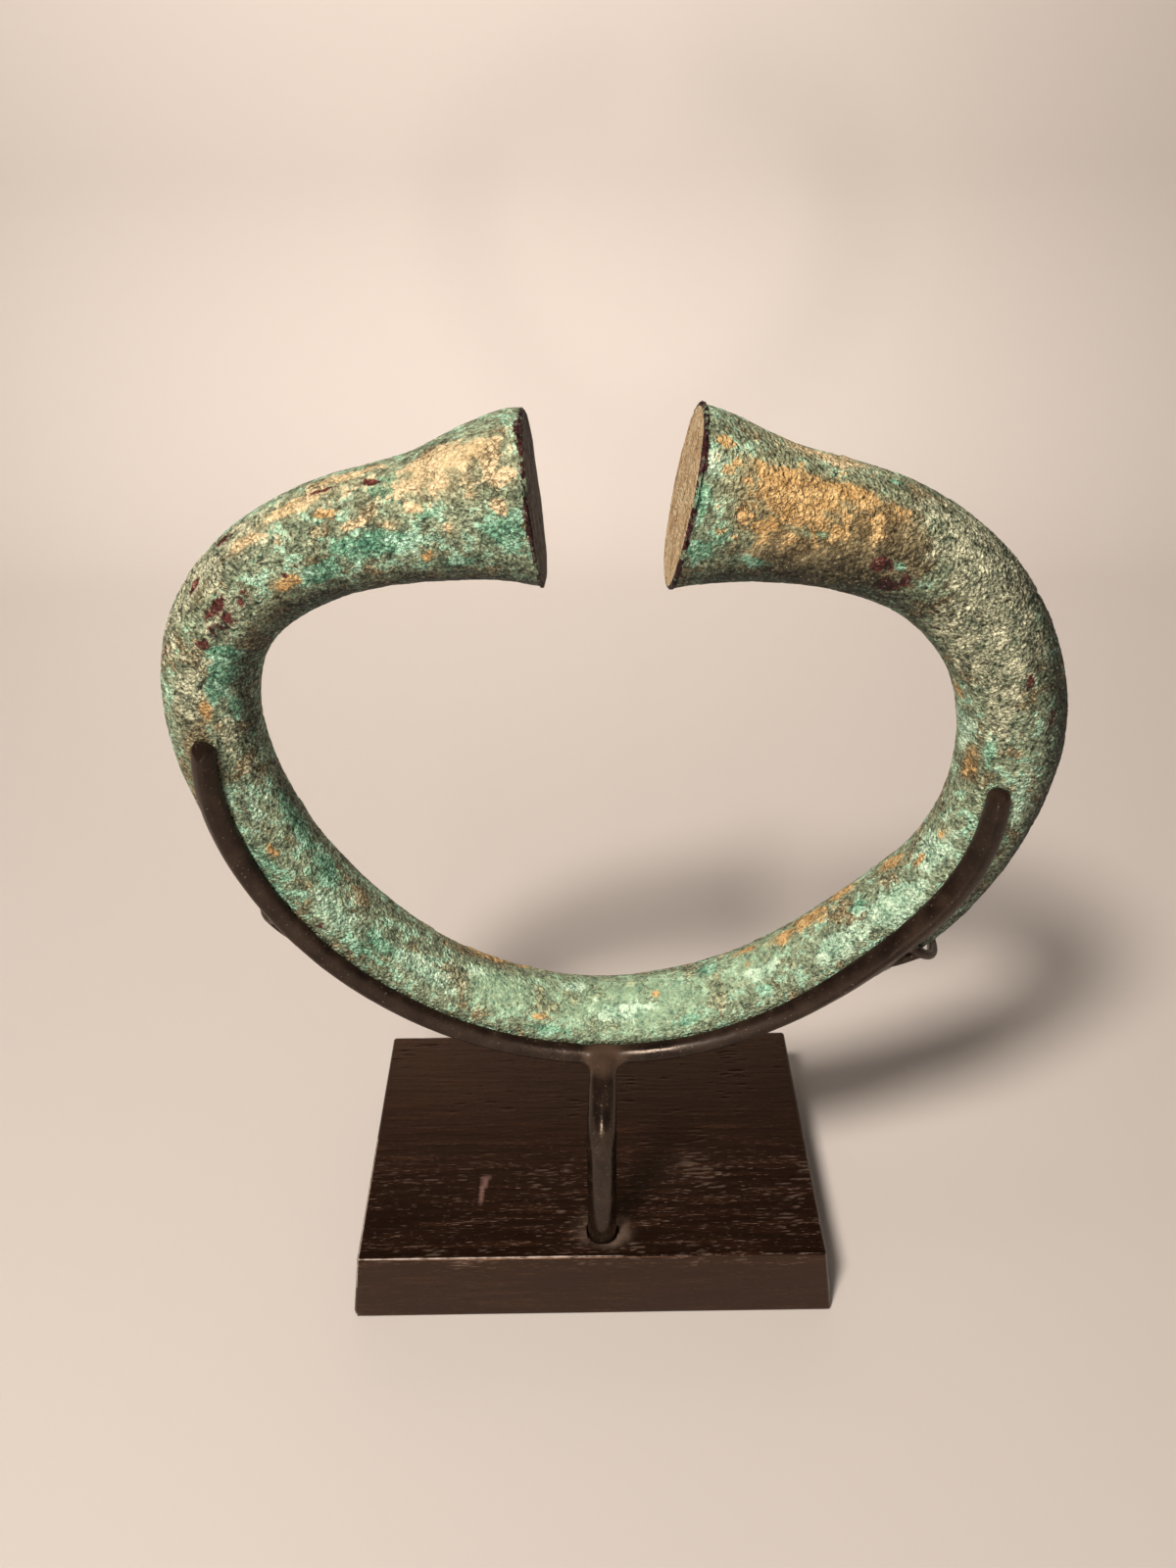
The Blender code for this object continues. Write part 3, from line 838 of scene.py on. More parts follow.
def prong_path(angle, room):
    """From the strap, under the bar and up behind it, a little slack under the bar."""
    start = strap_turn(np.array([float(angle)]))[0]
    round_bar = np.linspace(start, -PRONG_REACH, 60)
    slack = room * np.clip(np.cos(np.radians(round_bar)), 0, 1) ** 2
    at = np.full(len(round_bar), float(angle))
    return place_on_bar(at, round_bar, SEAT_GAP + PRONG_RADIUS + slack)[0]


def foot_grid(angle):
    """The prong's foot: a rod that tapers along the strap's lower edge, towards the ring's bottom.

    Round the bar it starts 31 degrees below the strap's middle and ends 12 degrees below it.
    """
    share = np.linspace(0, 1, 24)
    degrees = angle - math.copysign(FOOT_LENGTH, angle) * share
    round_bar = strap_turn(degrees) - 31 + 19 * share
    path = place_on_bar(degrees, round_bar, SEAT_GAP + PRONG_RADIUS + 0 * share)[0]
    across = np.cross(path[-1] - path[0], FRONT)
    across /= np.linalg.norm(across)
    return rod_grid(path, PRONG_RADIUS * (1.2 - 0.5 * share), across, True, True)


def braze_grid():
    """The swelling of brazing metal where the post meets the strap: an egg that leans with the post.

    Its half sizes are half of BRAZE_LENGTH along the strap, 0.72 of the post's radius to the front and
    0.40 of BRAZE_HEIGHT up the post.
    """
    polar = np.linspace(0, math.pi, 25)[1:-1]
    turn = np.linspace(0, 2 * math.pi, ROD_SIDES, endpoint=False)
    x = np.sin(polar)[:, None] * np.cos(turn) * BRAZE_LENGTH / 2
    y = np.sin(polar)[:, None] * np.sin(turn) * POST_TOP_RADIUS * 0.72
    z = np.cos(polar)[:, None] + 0 * turn
    path = post_path()
    way = Vector(path[-1]) - Vector(path[-2])
    lean = np.array(Vector((0, 0, 1)).rotation_difference(way).to_matrix())
    egg = np.stack((x, y, z * BRAZE_HEIGHT * 0.40), axis=-1)
    return egg @ lean.T + strap_middle(post_angle())


def apply_modifiers(piece):
    """Gives the piece the mesh that its modifiers make, and takes them off."""
    seen = piece.evaluated_get(bpy.context.evaluated_depsgraph_get())
    mesh = bpy.data.meshes.new_from_object(seen)
    piece.modifiers.clear()
    piece.data = mesh


def mesh_arrays(mesh):
    """The mesh's points, their normals and its edges, as arrays."""
    points = np.empty(len(mesh.vertices) * 3, np.float32)
    mesh.vertices.foreach_get("co", points)
    normals = np.empty(len(mesh.vertices) * 3, np.float32)
    mesh.vertex_normals.foreach_get("vector", normals)
    edges = np.empty(len(mesh.edges) * 2, np.int32)
    mesh.edges.foreach_get("vertices", edges)
    return points.reshape(-1, 3).astype(float), normals.reshape(-1, 3).astype(float), edges.reshape(-1, 2)


def relax(points, edges, weight, rounds):
    """Moves each point towards the mean of its neighbours, by its weight, a number of rounds."""
    count = np.bincount(edges.ravel(), minlength=len(points))[:, None]
    for _ in range(rounds):
        total = np.zeros_like(points)
        np.add.at(total, edges[:, 0], points[edges[:, 1]])
        np.add.at(total, edges[:, 1], points[edges[:, 0]])
        points = points + weight[:, None] * (total / np.maximum(count, 1) - points)
    return points


def make_cradle():
    """Strap, post, two prongs and the brazing as one skin, with soft fillets where they meet.

    The closed parts are wrapped in one skin, which is relaxed a little all over and much more near the
    joints, and then moved along its normals by the unevenness of forging.
    """
    post = post_path()
    taper = np.linspace(POST_RADIUS, POST_TOP_RADIUS, len(post))
    parts = [
        add_skin("strap", strap_grid()),
        add_skin("post", rod_grid(post, taper, np.array((1.0, 0, 0)), False, False)),
        add_skin("brazing", braze_grid()),
    ]
    joints = [strap_middle(post_angle())]
    for angle, room in ((LEFT_PRONG_ANGLE, LEFT_PRONG_SLACK), (RIGHT_PRONG_ANGLE, RIGHT_PRONG_SLACK)):
        path = prong_path(angle, room)
        across = centre_line(np.array([float(angle)]))[1][0]
        grid = rod_grid(path, np.full(len(path), PRONG_RADIUS), across, False, True)
        parts.append(add_skin("prong", grid))
        parts.append(add_skin("prong_foot", foot_grid(angle)))
        joints.append(strap_middle(angle))
    for part in parts:
        face_outwards(part.data)
    with bpy.context.temp_override(active_object=parts[0], selected_editable_objects=parts):
        bpy.ops.object.join()
    cradle = parts[0]
    cradle.name = "stand_cradle"
    skin = cradle.modifiers.new("one_skin", "REMESH")
    skin.mode = "VOXEL"
    skin.voxel_size = SKIN_CELL
    apply_modifiers(cradle)
    points, normals, edges = mesh_arrays(cradle.data)
    points = relax(points, edges, np.full(len(points), 0.5), 3)
    nearest = np.min([np.linalg.norm(points - joint, axis=1) for joint in joints[1:]], axis=0)
    at_post = np.linalg.norm(points - joints[0], axis=1)
    fillet = smooth_step(9 * MM, 5 * MM, at_post) + smooth_step(5 * MM, 3 * MM, nearest)
    points = relax(points, edges, 0.6 * np.clip(fillet, 0, 1), 16)
    forged = 0.07 * layered_noise(points, 9 * MM, 2, 51) + 0.025 * layered_noise(points, 2.4 * MM, 2, 53)
    points = points + (forged * MM)[:, None] * normals
    near_post = np.min([np.linalg.norm(points - step, axis=1) for step in post], axis=0)
    brazed = smooth_step(7.0 * MM, 4.0 * MM, at_post)
    set_attribute(cradle, "brazed", brazed)
    rubbed = np.maximum(smooth_step(6.0 * MM, 4.4 * MM, near_post), smooth_step(28 * MM, 14 * MM, at_post))
    set_attribute(cradle, "polish", rubbed * (1 - brazed))
    cradle.data.vertices.foreach_set("co", points.ravel())
    cradle.data.update()
    cradle.data.shade_smooth()
    return cradle


def face_outwards(mesh):
    """Turns the faces of a closed mesh outwards, if its signed volume is negative."""
    mesh.calc_loop_triangles()
    corners = np.empty(len(mesh.loop_triangles) * 3, np.int32)
    mesh.loop_triangles.foreach_get("vertices", corners)
    points = np.empty(len(mesh.vertices) * 3, np.float32)
    mesh.vertices.foreach_get("co", points)
    a, b, c = points.reshape(-1, 3)[corners.reshape(-1, 3)].transpose(1, 0, 2)
    if np.einsum("ij,ij->", a, np.cross(b, c)) < 0:
        mesh.flip_normals()


def edge_spaced(half, cell):
    """Places from -half to half, a cell apart, with four closer ones over each eased edge."""
    flat = half - BASE_EDGE
    count = max(2, round(2 * flat / cell))
    edge = flat + BASE_EDGE * np.array((0.25, 0.5, 0.75, 1.0))
    return np.concatenate((-edge[::-1], np.linspace(-flat, flat, count + 1), edge))


def block_shell():
    """Grid skin of a box with eased edges and an open bottom, as core points, ways off them and quads.

    Each point of a square box is drawn back to the core, the box inside the eased edges. Set off from
    there by the edge's radius, along the line between the two, it turns square edges into quarter
    rounds. The grid is finest across the grain of the wood, where its pores are narrow.
    """
    half = np.array((BASE_TOP_WIDTH / 2, BASE_TOP_DEPTH / 2, BASE_HEIGHT / 2))
    xs, ys, zs = [edge_spaced(reach, cell) for reach, cell in zip(half, BLOCK_CELLS)]
    sheets = []
    for fixed, first, second in ((2, xs, ys), (1, xs, zs), (0, ys, zs)):
        u, v = np.meshgrid(first, second, indexing="ij")
        for side in (-1, 1):
            if fixed == 2 and side < 0:
                continue
            sheet = np.empty((*u.shape, 3))
            sheet[..., fixed] = side * half[fixed]
            sheet[..., [a for a in range(3) if a != fixed]] = np.stack((u, v), axis=-1)
            flip = (side > 0) == (fixed == 1)
            sheets.append(sheet[::-1] if flip else sheet)
    points = []
    quads = []
    start = 0
    for sheet in sheets:
        n, m = sheet.shape[:2]
        i, j = np.meshgrid(np.arange(n - 1), np.arange(m - 1), indexing="ij")
        a = start + i * m + j
        quads.append(np.stack((a, a + m, a + m + 1, a + 1), axis=-1).reshape(-1, 4))
        points.append(sheet.reshape(-1, 3))
        start += n * m
    points = np.vstack(points)
    quads = np.vstack(quads)
    _, keep, same = np.unique(np.round(points / (0.001 * MM)).astype(np.int64), axis=0,
                              return_index=True, return_inverse=True)
    points = points[keep]
    quads = same.ravel()[quads]
    core = np.clip(points, -(half - BASE_EDGE), half - BASE_EDGE)
    off = points - core
    off /= np.linalg.norm(off, axis=1, keepdims=True)
    return core, off, quads


def make_base():
    """The tapered block with worn edges, open pores, a few dents and the hole for the post.

    The box is stretched to stand on its underside and widened downwards by the flare, and its points
    then move along their ways off the core by the wear in mm.
    """
    core, off, quads = block_shell()
    points = core + BASE_EDGE * off
    lowest = points[:, 2].min()
    points[:, 2] = (points[:, 2] - lowest) * BASE_HEIGHT / (BASE_HEIGHT / 2 - lowest)
    down = 1 - points[:, 2] / BASE_HEIGHT
    points[:, 0] *= 1 + down * BASE_FLARE / (BASE_TOP_WIDTH / 2)
    points[:, 1] *= 1 + down * BASE_FLARE / (BASE_TOP_DEPTH / 2)
    bottom = points[:, 2] < 0.0001 * MM
    along_grain = points / np.array((8.5, 1.0, 1.0))
    pore = smooth_step(0.44, 0.66, layered_noise(along_grain, 0.52 * MM, 2, 61)
                       + 0.40 * lattice_noise(points, 14 * MM, 63))
    edge = np.clip(1 - np.abs(off).max(axis=1), 0, 0.3) / 0.3
    worn = edge * (0.05 + 0.22 * smooth_step(0.1, 0.8, layered_noise(points, 9 * MM, 3, 65)))
    push = -0.11 * pore * (1 - edge) - worn + 0.06 * layered_noise(points, 30 * MM, 2, 67)
    chip = np.array((-(BASE_TOP_WIDTH / 2 + BASE_FLARE), -(BASE_TOP_DEPTH / 2 + BASE_FLARE), 0.0))
    push -= 0.5 * smooth_step(2.2 * MM, 0.6 * MM, np.linalg.norm(points - chip, axis=1))
    scar = scar_share(points)
    push -= 0.10 * scar
    points = points + np.where(bottom, 0, push * MM)[:, None] * off
    points[:, 2] = np.maximum(points[:, 2], 0)
    rim = outline(quads)
    base = make_mesh("stand_base", points, quads.tolist() + [rim])
    face_outwards(base.data)
    set_attribute(base, "pore", pore)
    # The front top edge is lightened, most on its left: wear, and a painted highlight where the light from
    # the left catches the rounded edge
    rubbed = np.where(points[:, 1] < 0, 0.55 + 0.45 * smooth_step(12 * MM, -8 * MM, points[:, 0]), 0.5)
    set_attribute(base, "edge", edge * rubbed * (points[:, 2] > BASE_HEIGHT / 2))
    set_attribute(base, "scar", scar)
    top = points[:, 2] > BASE_HEIGHT * 0.8
    set_attribute(base, "halo", top * halo_share(points))
    # Pores towards the front are filled pale: dust, and a painted highlight of pore edges catching the light
    forward = smooth_step(4 * MM, -18 * MM, points[:, 1] + 6 * MM * layered_noise(points, 20 * MM, 2, 73))
    set_attribute(base, "dust_and_pore_highlight", forward * np.where(top, 0.85, 0.05))
    drill_hole(base)
    return base


def halo_share(points):
    """Dust caught round the post's foot, more to its right, and a faint haze 20 mm to the right."""
    aside = points[:, 0] - POST_OFFSET
    apart = np.hypot(aside / 1.3, points[:, 1] - POST_Y) + 1.2 * MM * layered_noise(points, 4 * MM, 3, 71)
    uneven = 0.6 + 0.7 * layered_noise(points, 2.5 * MM, 3, 77)
    amount = (0.22 + 0.50 * smooth_step(-4 * MM, 5 * MM, aside)) * np.clip(uneven, 0, 1)
    ring = amount * np.exp(-((apart - POST_RADIUS) / (1.8 * MM)) ** 2)
    haze = np.exp(-((aside - 20 * MM) / (9 * MM)) ** 2 - ((points[:, 1] + 13 * MM) / (6 * MM)) ** 2)
    return ring + 0.03 * haze * (1 + layered_noise(points, 5 * MM, 3, 75))


def scar_share(points):
    """0.5 on the short pale scuff across the grain of the block's top, a wedge that is wide at its back."""
    x, y = ((points[:, :2] - SCAR_PLACE) / MM).T
    back = np.clip((y + SCAR_LENGTH / 2) / SCAR_LENGTH, 0, 1)
    wander = 0.9 * layered_noise(points, 4 * MM, 2, 69)
    half = 0.35 + 1.1 * back ** 2
    ends = smooth_step(-6.4, -4.4, y + wander) * smooth_step(5.8, 3.6, y + wander)
    inside = smooth_step(1.25, 0.4, np.abs(x - 1.6 * (back - 0.5) + 0.6 * wander) / half)
    return 0.5 * inside * ends * (points[:, 2] > BASE_HEIGHT / 2)


def outline(quads):
    """The open edge of a skin of quads, as one loop of point numbers."""
    edges = np.vstack([quads[:, [k, (k + 1) % 4]] for k in range(4)])
    key = np.sort(edges, axis=1)
    _, index, count = np.unique(key, axis=0, return_index=True, return_counts=True)
    follow = {int(b): int(a) for a, b in edges[index[count == 1]]}
    start = next(iter(follow))
    loop = [start]
    while follow[loop[-1]] != start:
        loop.append(follow[loop[-1]])
    return loop


def drill_hole(base):
    """Cuts the blind hole that the post stands in."""
    turn = np.linspace(0, 2 * math.pi, HOLE_SIDES, endpoint=False)
    level = np.array((POST_HOLE_FLOOR, BASE_HEIGHT + 2 * MM))
    circle = (POST_RADIUS + POST_GAP) * np.stack((np.cos(turn), np.sin(turn)), axis=-1)
    circle = np.tile(circle + (POST_OFFSET, POST_Y), (2, 1, 1))
    drill = add_skin("drill", np.dstack((circle, np.tile(level[:, None], len(turn)))))
    face_outwards(drill.data)
    cut = base.modifiers.new("post_hole", "BOOLEAN")
    cut.operation = "DIFFERENCE"
    cut.solver = "EXACT"
    cut.object = drill
    apply_modifiers(base)
    bpy.data.objects.remove(drill)


def linear(colour):
    """Linear RGBA of an sRGB hex colour."""
    parts = [int(colour[i:i + 2], 16) / 255 for i in (1, 3, 5)]
    return (*[c / 12.92 if c <= 0.04045 else ((c + 0.055) / 1.055) ** 2.4 for c in parts], 1.0)


def add(tree, kind, take, inputs=None, stops=(), **settings):
    """Adds a node with its settings, its inputs, each a value or a link, and its colour stops.

    Gives the output that is taken from it.
    """
    node = tree.nodes.new(kind)
    for name, value in settings.items():
        setattr(node, name, value)
    for socket, value in (inputs or {}).items():
        if isinstance(value, bpy.types.NodeSocket):
            tree.links.new(value, node.inputs[socket])
        else:
            node.inputs[socket].default_value = value
    for k, (place, colour) in enumerate(stops):
        marks = node.color_ramp.elements
        mark = marks[k] if k < len(marks) else marks.new(place)
        mark.position = place
        mark.color = linear(colour)
    return node.outputs[take]


def new_material(name):
    """A new material, its node tree and its surface shader."""
    made = bpy.data.materials.new(name)
    made.use_nodes = True
    return made, made.node_tree, made.node_tree.nodes["Principled BSDF"]


# Colours of the ring from the dark to the light of a pattern, each at its place on that pattern
BODY_STOPS = ((0.38, "#535c49"), (0.45, "#737d64"), (0.52, "#929c7e"), (0.62, "#b2b795"))
VERDIGRIS_STOPS = ((0.38, "#436756"), (0.46, "#668d76"), (0.53, "#8ab194"), (0.63, "#aecfb2"))
TAN_STOPS = ((0.38, "#5e5037"), (0.46, "#857656"), (0.53, "#a69570"), (0.63, "#c4b28a"))
SMOOTH_STOPS = ((0.34, "#6d8f78"), (0.44, "#82a184"), (0.55, "#95ad8a"), (0.67, "#abb993"))
HOLLOW_STOPS = ((0.45, "#16261e"), (0.55, "#221a12"))
RIM_STOPS = ((0.36, "#130b0a"), (0.47, "#2e1717"), (0.56, "#4c2727"), (0.68, "#87907a"))
RIGHT_FACE_STOPS = ((0.38, "#8c7150"), (0.46, "#b39468"), (0.53, "#ccb088"), (0.62, "#c3b795"))
# The left end face is painted dark as shade, for it is turned away from the light
LEFT_FACE_STOPS = ((0.38, "#0d0906"), (0.46, "#2c2217"), (0.54, "#5a4934"), (0.64, "#857358"))

# Each kind of crust: its colours from dark to light, where they lie on the pattern, and how much of
# it spreads as a soft tint beyond its ragged flakes
CRUSTS = (
    ("earth", ("#3a3223", "#60573f", "#7d7254", "#a09270"), (0.36, 0.45, 0.54, 0.66), 0.85),
    ("pale", ("#6c8d76", "#90b195", "#adc8ab", "#c8dcbe"), (0.35, 0.44, 0.52, 0.63), 0.45),
    ("malachite", ("#3d6653", "#5e8e72", "#82ae8e", "#a8cdb4"), (0.36, 0.45, 0.53, 0.63), 0.45),
    ("stone", ("#56614e", "#878c73", "#acac8e", "#c6c4a4"), (0.37, 0.45, 0.53, 0.63), 0.60),
    ("ochre", ("#86673f", "#aa8653", "#bc9864", "#c9ab78"), (0.35, 0.44, 0.52, 0.63), 0.88),
    ("cream", ("#a18963", "#bca47a", "#c8b188", "#cfbb95"), (0.35, 0.44, 0.52, 0.63), 0.75),
    ("cuprite", ("#20110f", "#42211d", "#5e302b", "#7b5040"), (0.36, 0.45, 0.54, 0.66), 0.20),
)


def ring_patterns(tree, place):
    """The patterns of the ring's patina, by name, each made for its size in mm.

    Four are noise, from specks of 0.6 mm to patches of 9 mm. Two are cells, on places that more noise
    has shifted by up to 1.6 mm: how far it is to the edge of a flake 1.7 mm across, and how far to the
    middle of a pebble 0.85 mm across.
    """
    moved = add(tree, "ShaderNodeMapping", "Vector", {"Location": (0.3, 0.7, 0.1), "Vector": place})
    pattern = {}
    for name, size, detail, rough, at in (
            ("speck", 0.60, 2.0, 0.60, place),
            ("grain", 1.1, 3.0, 0.70, moved),
            ("mottle", 3.0, 3.5, 0.58, moved),
            ("patch", 9.0, 5.0, 0.66, place)):
        pattern[name] = add(tree, "ShaderNodeTexNoise", "Fac", {
            "Scale": 1 / (size * MM), "Detail": detail, "Roughness": rough, "Vector": at})
    bend = add(tree, "ShaderNodeTexNoise", "Color", {"Scale": 1 / (1.6 * MM), "Detail": 3.0, "Vector": place})
    warped = add(tree, "ShaderNodeVectorMath", "Vector", {0: bend, 1: (1.6 * MM,) * 3, 2: place},
                 operation="MULTIPLY_ADD")
    for name, size, feature in (("flake", 1.7, "DISTANCE_TO_EDGE"), ("pebble", 0.85, "F1")):
        pattern[name] = add(tree, "ShaderNodeTexVoronoi", "Distance", {
            "Vector": warped, "Scale": 1 / (size * MM)}, feature=feature)
    return pattern


def crust_sums(tree, pattern, field):
    """Weighted sums of patterns and fields, by name: a start, and each term times its weight.

    The tone runs from the dark to the light of a colour, and ragged tears the outlines of the crusts.
    Contrast and level say how much single grains show and how light the crust is, and the shade
    field's term in level is painted shade. Depth is low in pits, the rim is high where the metal is
    bare, and firm times height gives the bump.
    """
    sums = {}
    for name, start, terms in (
            ("tone", 0.0, ((pattern["mottle"], 0.55), (pattern["grain"], 0.45))),
            ("ragged", -1.20, ((pattern["grain"], 0.3), (pattern["mottle"], 1.3), (pattern["patch"], 0.8))),
            ("contrast", 3.0, ((field["stone"], 1.9), (field["calm"], -2.0), (field["ochre"], -1.5),
                               (field["cream"], -1.7), (field["pale"], -0.5))),
            # the shade field's term darkens the colour as painted shade
            ("level", 1.35, ((field["stone"], 0.32), (field["calm"], -0.25), (field["shade"], -1.24))),
            ("depth", -0.5, ((pattern["grain"], 0.9), (field["relief"], 0.55))),
            ("rim", -4.4, ((pattern["mottle"], 3.2), (pattern["patch"], 3.2), (field["rim"], 2.1))),
            ("firm", 1.1, ((field["stone"], 0.5), (field["calm"], -0.9))),
            ("height", 0.0, ((pattern["grain"], 0.7), (pattern["speck"], 0.5), (pattern["pebble"], -0.8)))):
        total = start
        for value, weight in terms:
            total = add(tree, "ShaderNodeMath", "Value", {0: value, 1: weight, 2: total},
                        operation="MULTIPLY_ADD")
        sums[name] = total
    return sums


def crust_colour(tree, pattern, field, sums):
    """Colour of the crust: the green body, its larger stretches, and each kind of crust over the last.

    A crust is crisp where its field and the ragged noise together pass 0.38 to 0.54, and it tints
    its surroundings wherever its field is strong. Single grains then lighten or darken the whole,
    partly by their own colour and partly as painted light and shade of the relief, most where it is
    stony, and the painted shade in level darkens the undersides.
    """
    colour = add(tree, "ShaderNodeValToRGB", "Color", {"Fac": sums["tone"]}, BODY_STOPS)
    for value, low, high, most, stops in (
            (pattern["mottle"], 0.52, 0.58, 0.9, VERDIGRIS_STOPS),
            (pattern["patch"], 0.54, 0.61, 0.9, TAN_STOPS),
            (field["calm"], 0.1, 0.9, 0.72, SMOOTH_STOPS)):
        mask = add(tree, "ShaderNodeMapRange", "Result", {
            "Value": value, "From Min": low, "From Max": high, "To Max": most},
            interpolation_type="SMOOTHSTEP")
        over = add(tree, "ShaderNodeValToRGB", "Color", {"Fac": sums["tone"]}, stops)
        colour = add(tree, "ShaderNodeMix", "Result", {"Factor": mask, "A": colour, "B": over},
                     data_type="RGBA")
    flaking = add(tree, "ShaderNodeMath", "Value", {0: sums["ragged"], 1: 0.34}, operation="MINIMUM")
    for name, colours, places, soft in CRUSTS:
        reach = add(tree, "ShaderNodeMath", "Value", {0: field[name], 1: flaking}, operation="ADD")
        crisp = add(tree, "ShaderNodeMapRange", "Result", {
            "Value": reach, "From Min": 0.38, "From Max": 0.54}, interpolation_type="SMOOTHSTEP")
        tint = add(tree, "ShaderNodeMapRange", "Result", {
            "Value": field[name], "From Min": 0.1, "From Max": 1.0, "To Max": soft},
            interpolation_type="SMOOTHSTEP")
        mask = add(tree, "ShaderNodeMath", "Value", {0: crisp, 1: tint}, operation="MAXIMUM")
        over = add(tree, "ShaderNodeValToRGB", "Color", {"Fac": sums["tone"]}, tuple(zip(places, colours)))
        colour = add(tree, "ShaderNodeMix", "Result", {"Factor": mask, "A": colour, "B": over},
                     data_type="RGBA")

    centred = add(tree, "ShaderNodeMath", "Value", {0: pattern["speck"], 1: 0.5}, operation="SUBTRACT")
    domed = add(tree, "ShaderNodeMath", "Value", {0: pattern["pebble"], 1: -0.16, 2: centred},
                operation="MULTIPLY_ADD")
    # grain lightness: partly the grains' own colour, partly painted light and shade of the relief; times
    # level, which holds the painted shade
    light = add(tree, "ShaderNodeMath", "Value", {0: domed, 1: sums["contrast"], 2: sums["level"]},
                operation="MULTIPLY_ADD")
    held = add(tree, "ShaderNodeClamp", "Result", {"Value": light, "Min": 0.14, "Max": 1.8})
    return add(tree, "ShaderNodeMix", "Result", {"Factor": 1.0, "A": colour, "B": held},
               data_type="RGBA", blend_type="MULTIPLY")


def hollow_share(tree, pattern, sums):
    """Up to 0.75 at the bottom of the crust's seams, cracks and pits, 0 on its open surface.

    A seam runs where the 3 mm noise crosses its middle, and a crack along the edges of the flakes,
    where the grain doesn't hide it. The 9 mm noise breaks both off over whole stretches.
    """
    ridge = add(tree, "ShaderNodeMath", "Value", {0: pattern["mottle"], 1: 0.5}, operation="SUBTRACT")
    from_seam = add(tree, "ShaderNodeMath", "Value", {0: ridge}, operation="ABSOLUTE")
    seam = add(tree, "ShaderNodeMapRange", "Result", {
        "Value": from_seam, "From Min": 0.020, "From Max": 0.005})
    edge = add(tree, "ShaderNodeMapRange", "Result", {
        "Value": pattern["flake"], "From Min": 0.07, "From Max": 0.01})
    open_share = add(tree, "ShaderNodeMapRange", "Result", {
        "Value": pattern["grain"], "From Min": 0.59, "From Max": 0.50, "To Max": 0.8})
    crack = add(tree, "ShaderNodeMath", "Value", {0: edge, 1: open_share}, operation="MULTIPLY")
    line = add(tree, "ShaderNodeMath", "Value", {0: seam, 1: crack}, operation="MAXIMUM")
    broken = add(tree, "ShaderNodeMapRange", "Result", {
        "Value": pattern["patch"], "From Min": 0.44, "From Max": 0.58, "To Max": 0.75})
    thin = add(tree, "ShaderNodeMath", "Value", {0: line, 1: broken}, operation="MULTIPLY")
    pit = add(tree, "ShaderNodeMapRange", "Result", {
        "Value": sums["depth"], "From Min": -0.16, "From Max": -0.27, "To Max": 0.75},
        interpolation_type="SMOOTHSTEP")
    return add(tree, "ShaderNodeMath", "Value", {0: thin, 1: pit}, operation="MAXIMUM")


def face_colour(tree, place, pattern, field):
    """Colour of the flat ends, with strokes 9 mm long down them: tan on the right, and dark on the left as
    painted shade.
    """
    stretch = add(tree, "ShaderNodeMapping", "Vector", {
        "Scale": (1 / (1.2 * MM), 1 / (0.9 * MM), 1 / (9 * MM)), "Vector": place})
    strokes = add(tree, "ShaderNodeTexNoise", "Fac", {
        "Scale": 1.0, "Detail": 6.0, "Roughness": 0.65, "Vector": stretch})
    half = add(tree, "ShaderNodeMath", "Value", {0: strokes, 1: 0.5}, operation="MULTIPLY")
    blotched = add(tree, "ShaderNodeMath", "Value", {0: pattern["mottle"], 1: 0.5, 2: half},
                   operation="MULTIPLY_ADD")
    right = add(tree, "ShaderNodeValToRGB", "Color", {"Fac": blotched}, RIGHT_FACE_STOPS)
    # the dark left end face is painted shade
    left = add(tree, "ShaderNodeValToRGB", "Color", {"Fac": strokes}, LEFT_FACE_STOPS)
    return add(tree, "ShaderNodeMix", "Result", {"Factor": field["left_face"], "A": right, "B": left},
               data_type="RGBA")


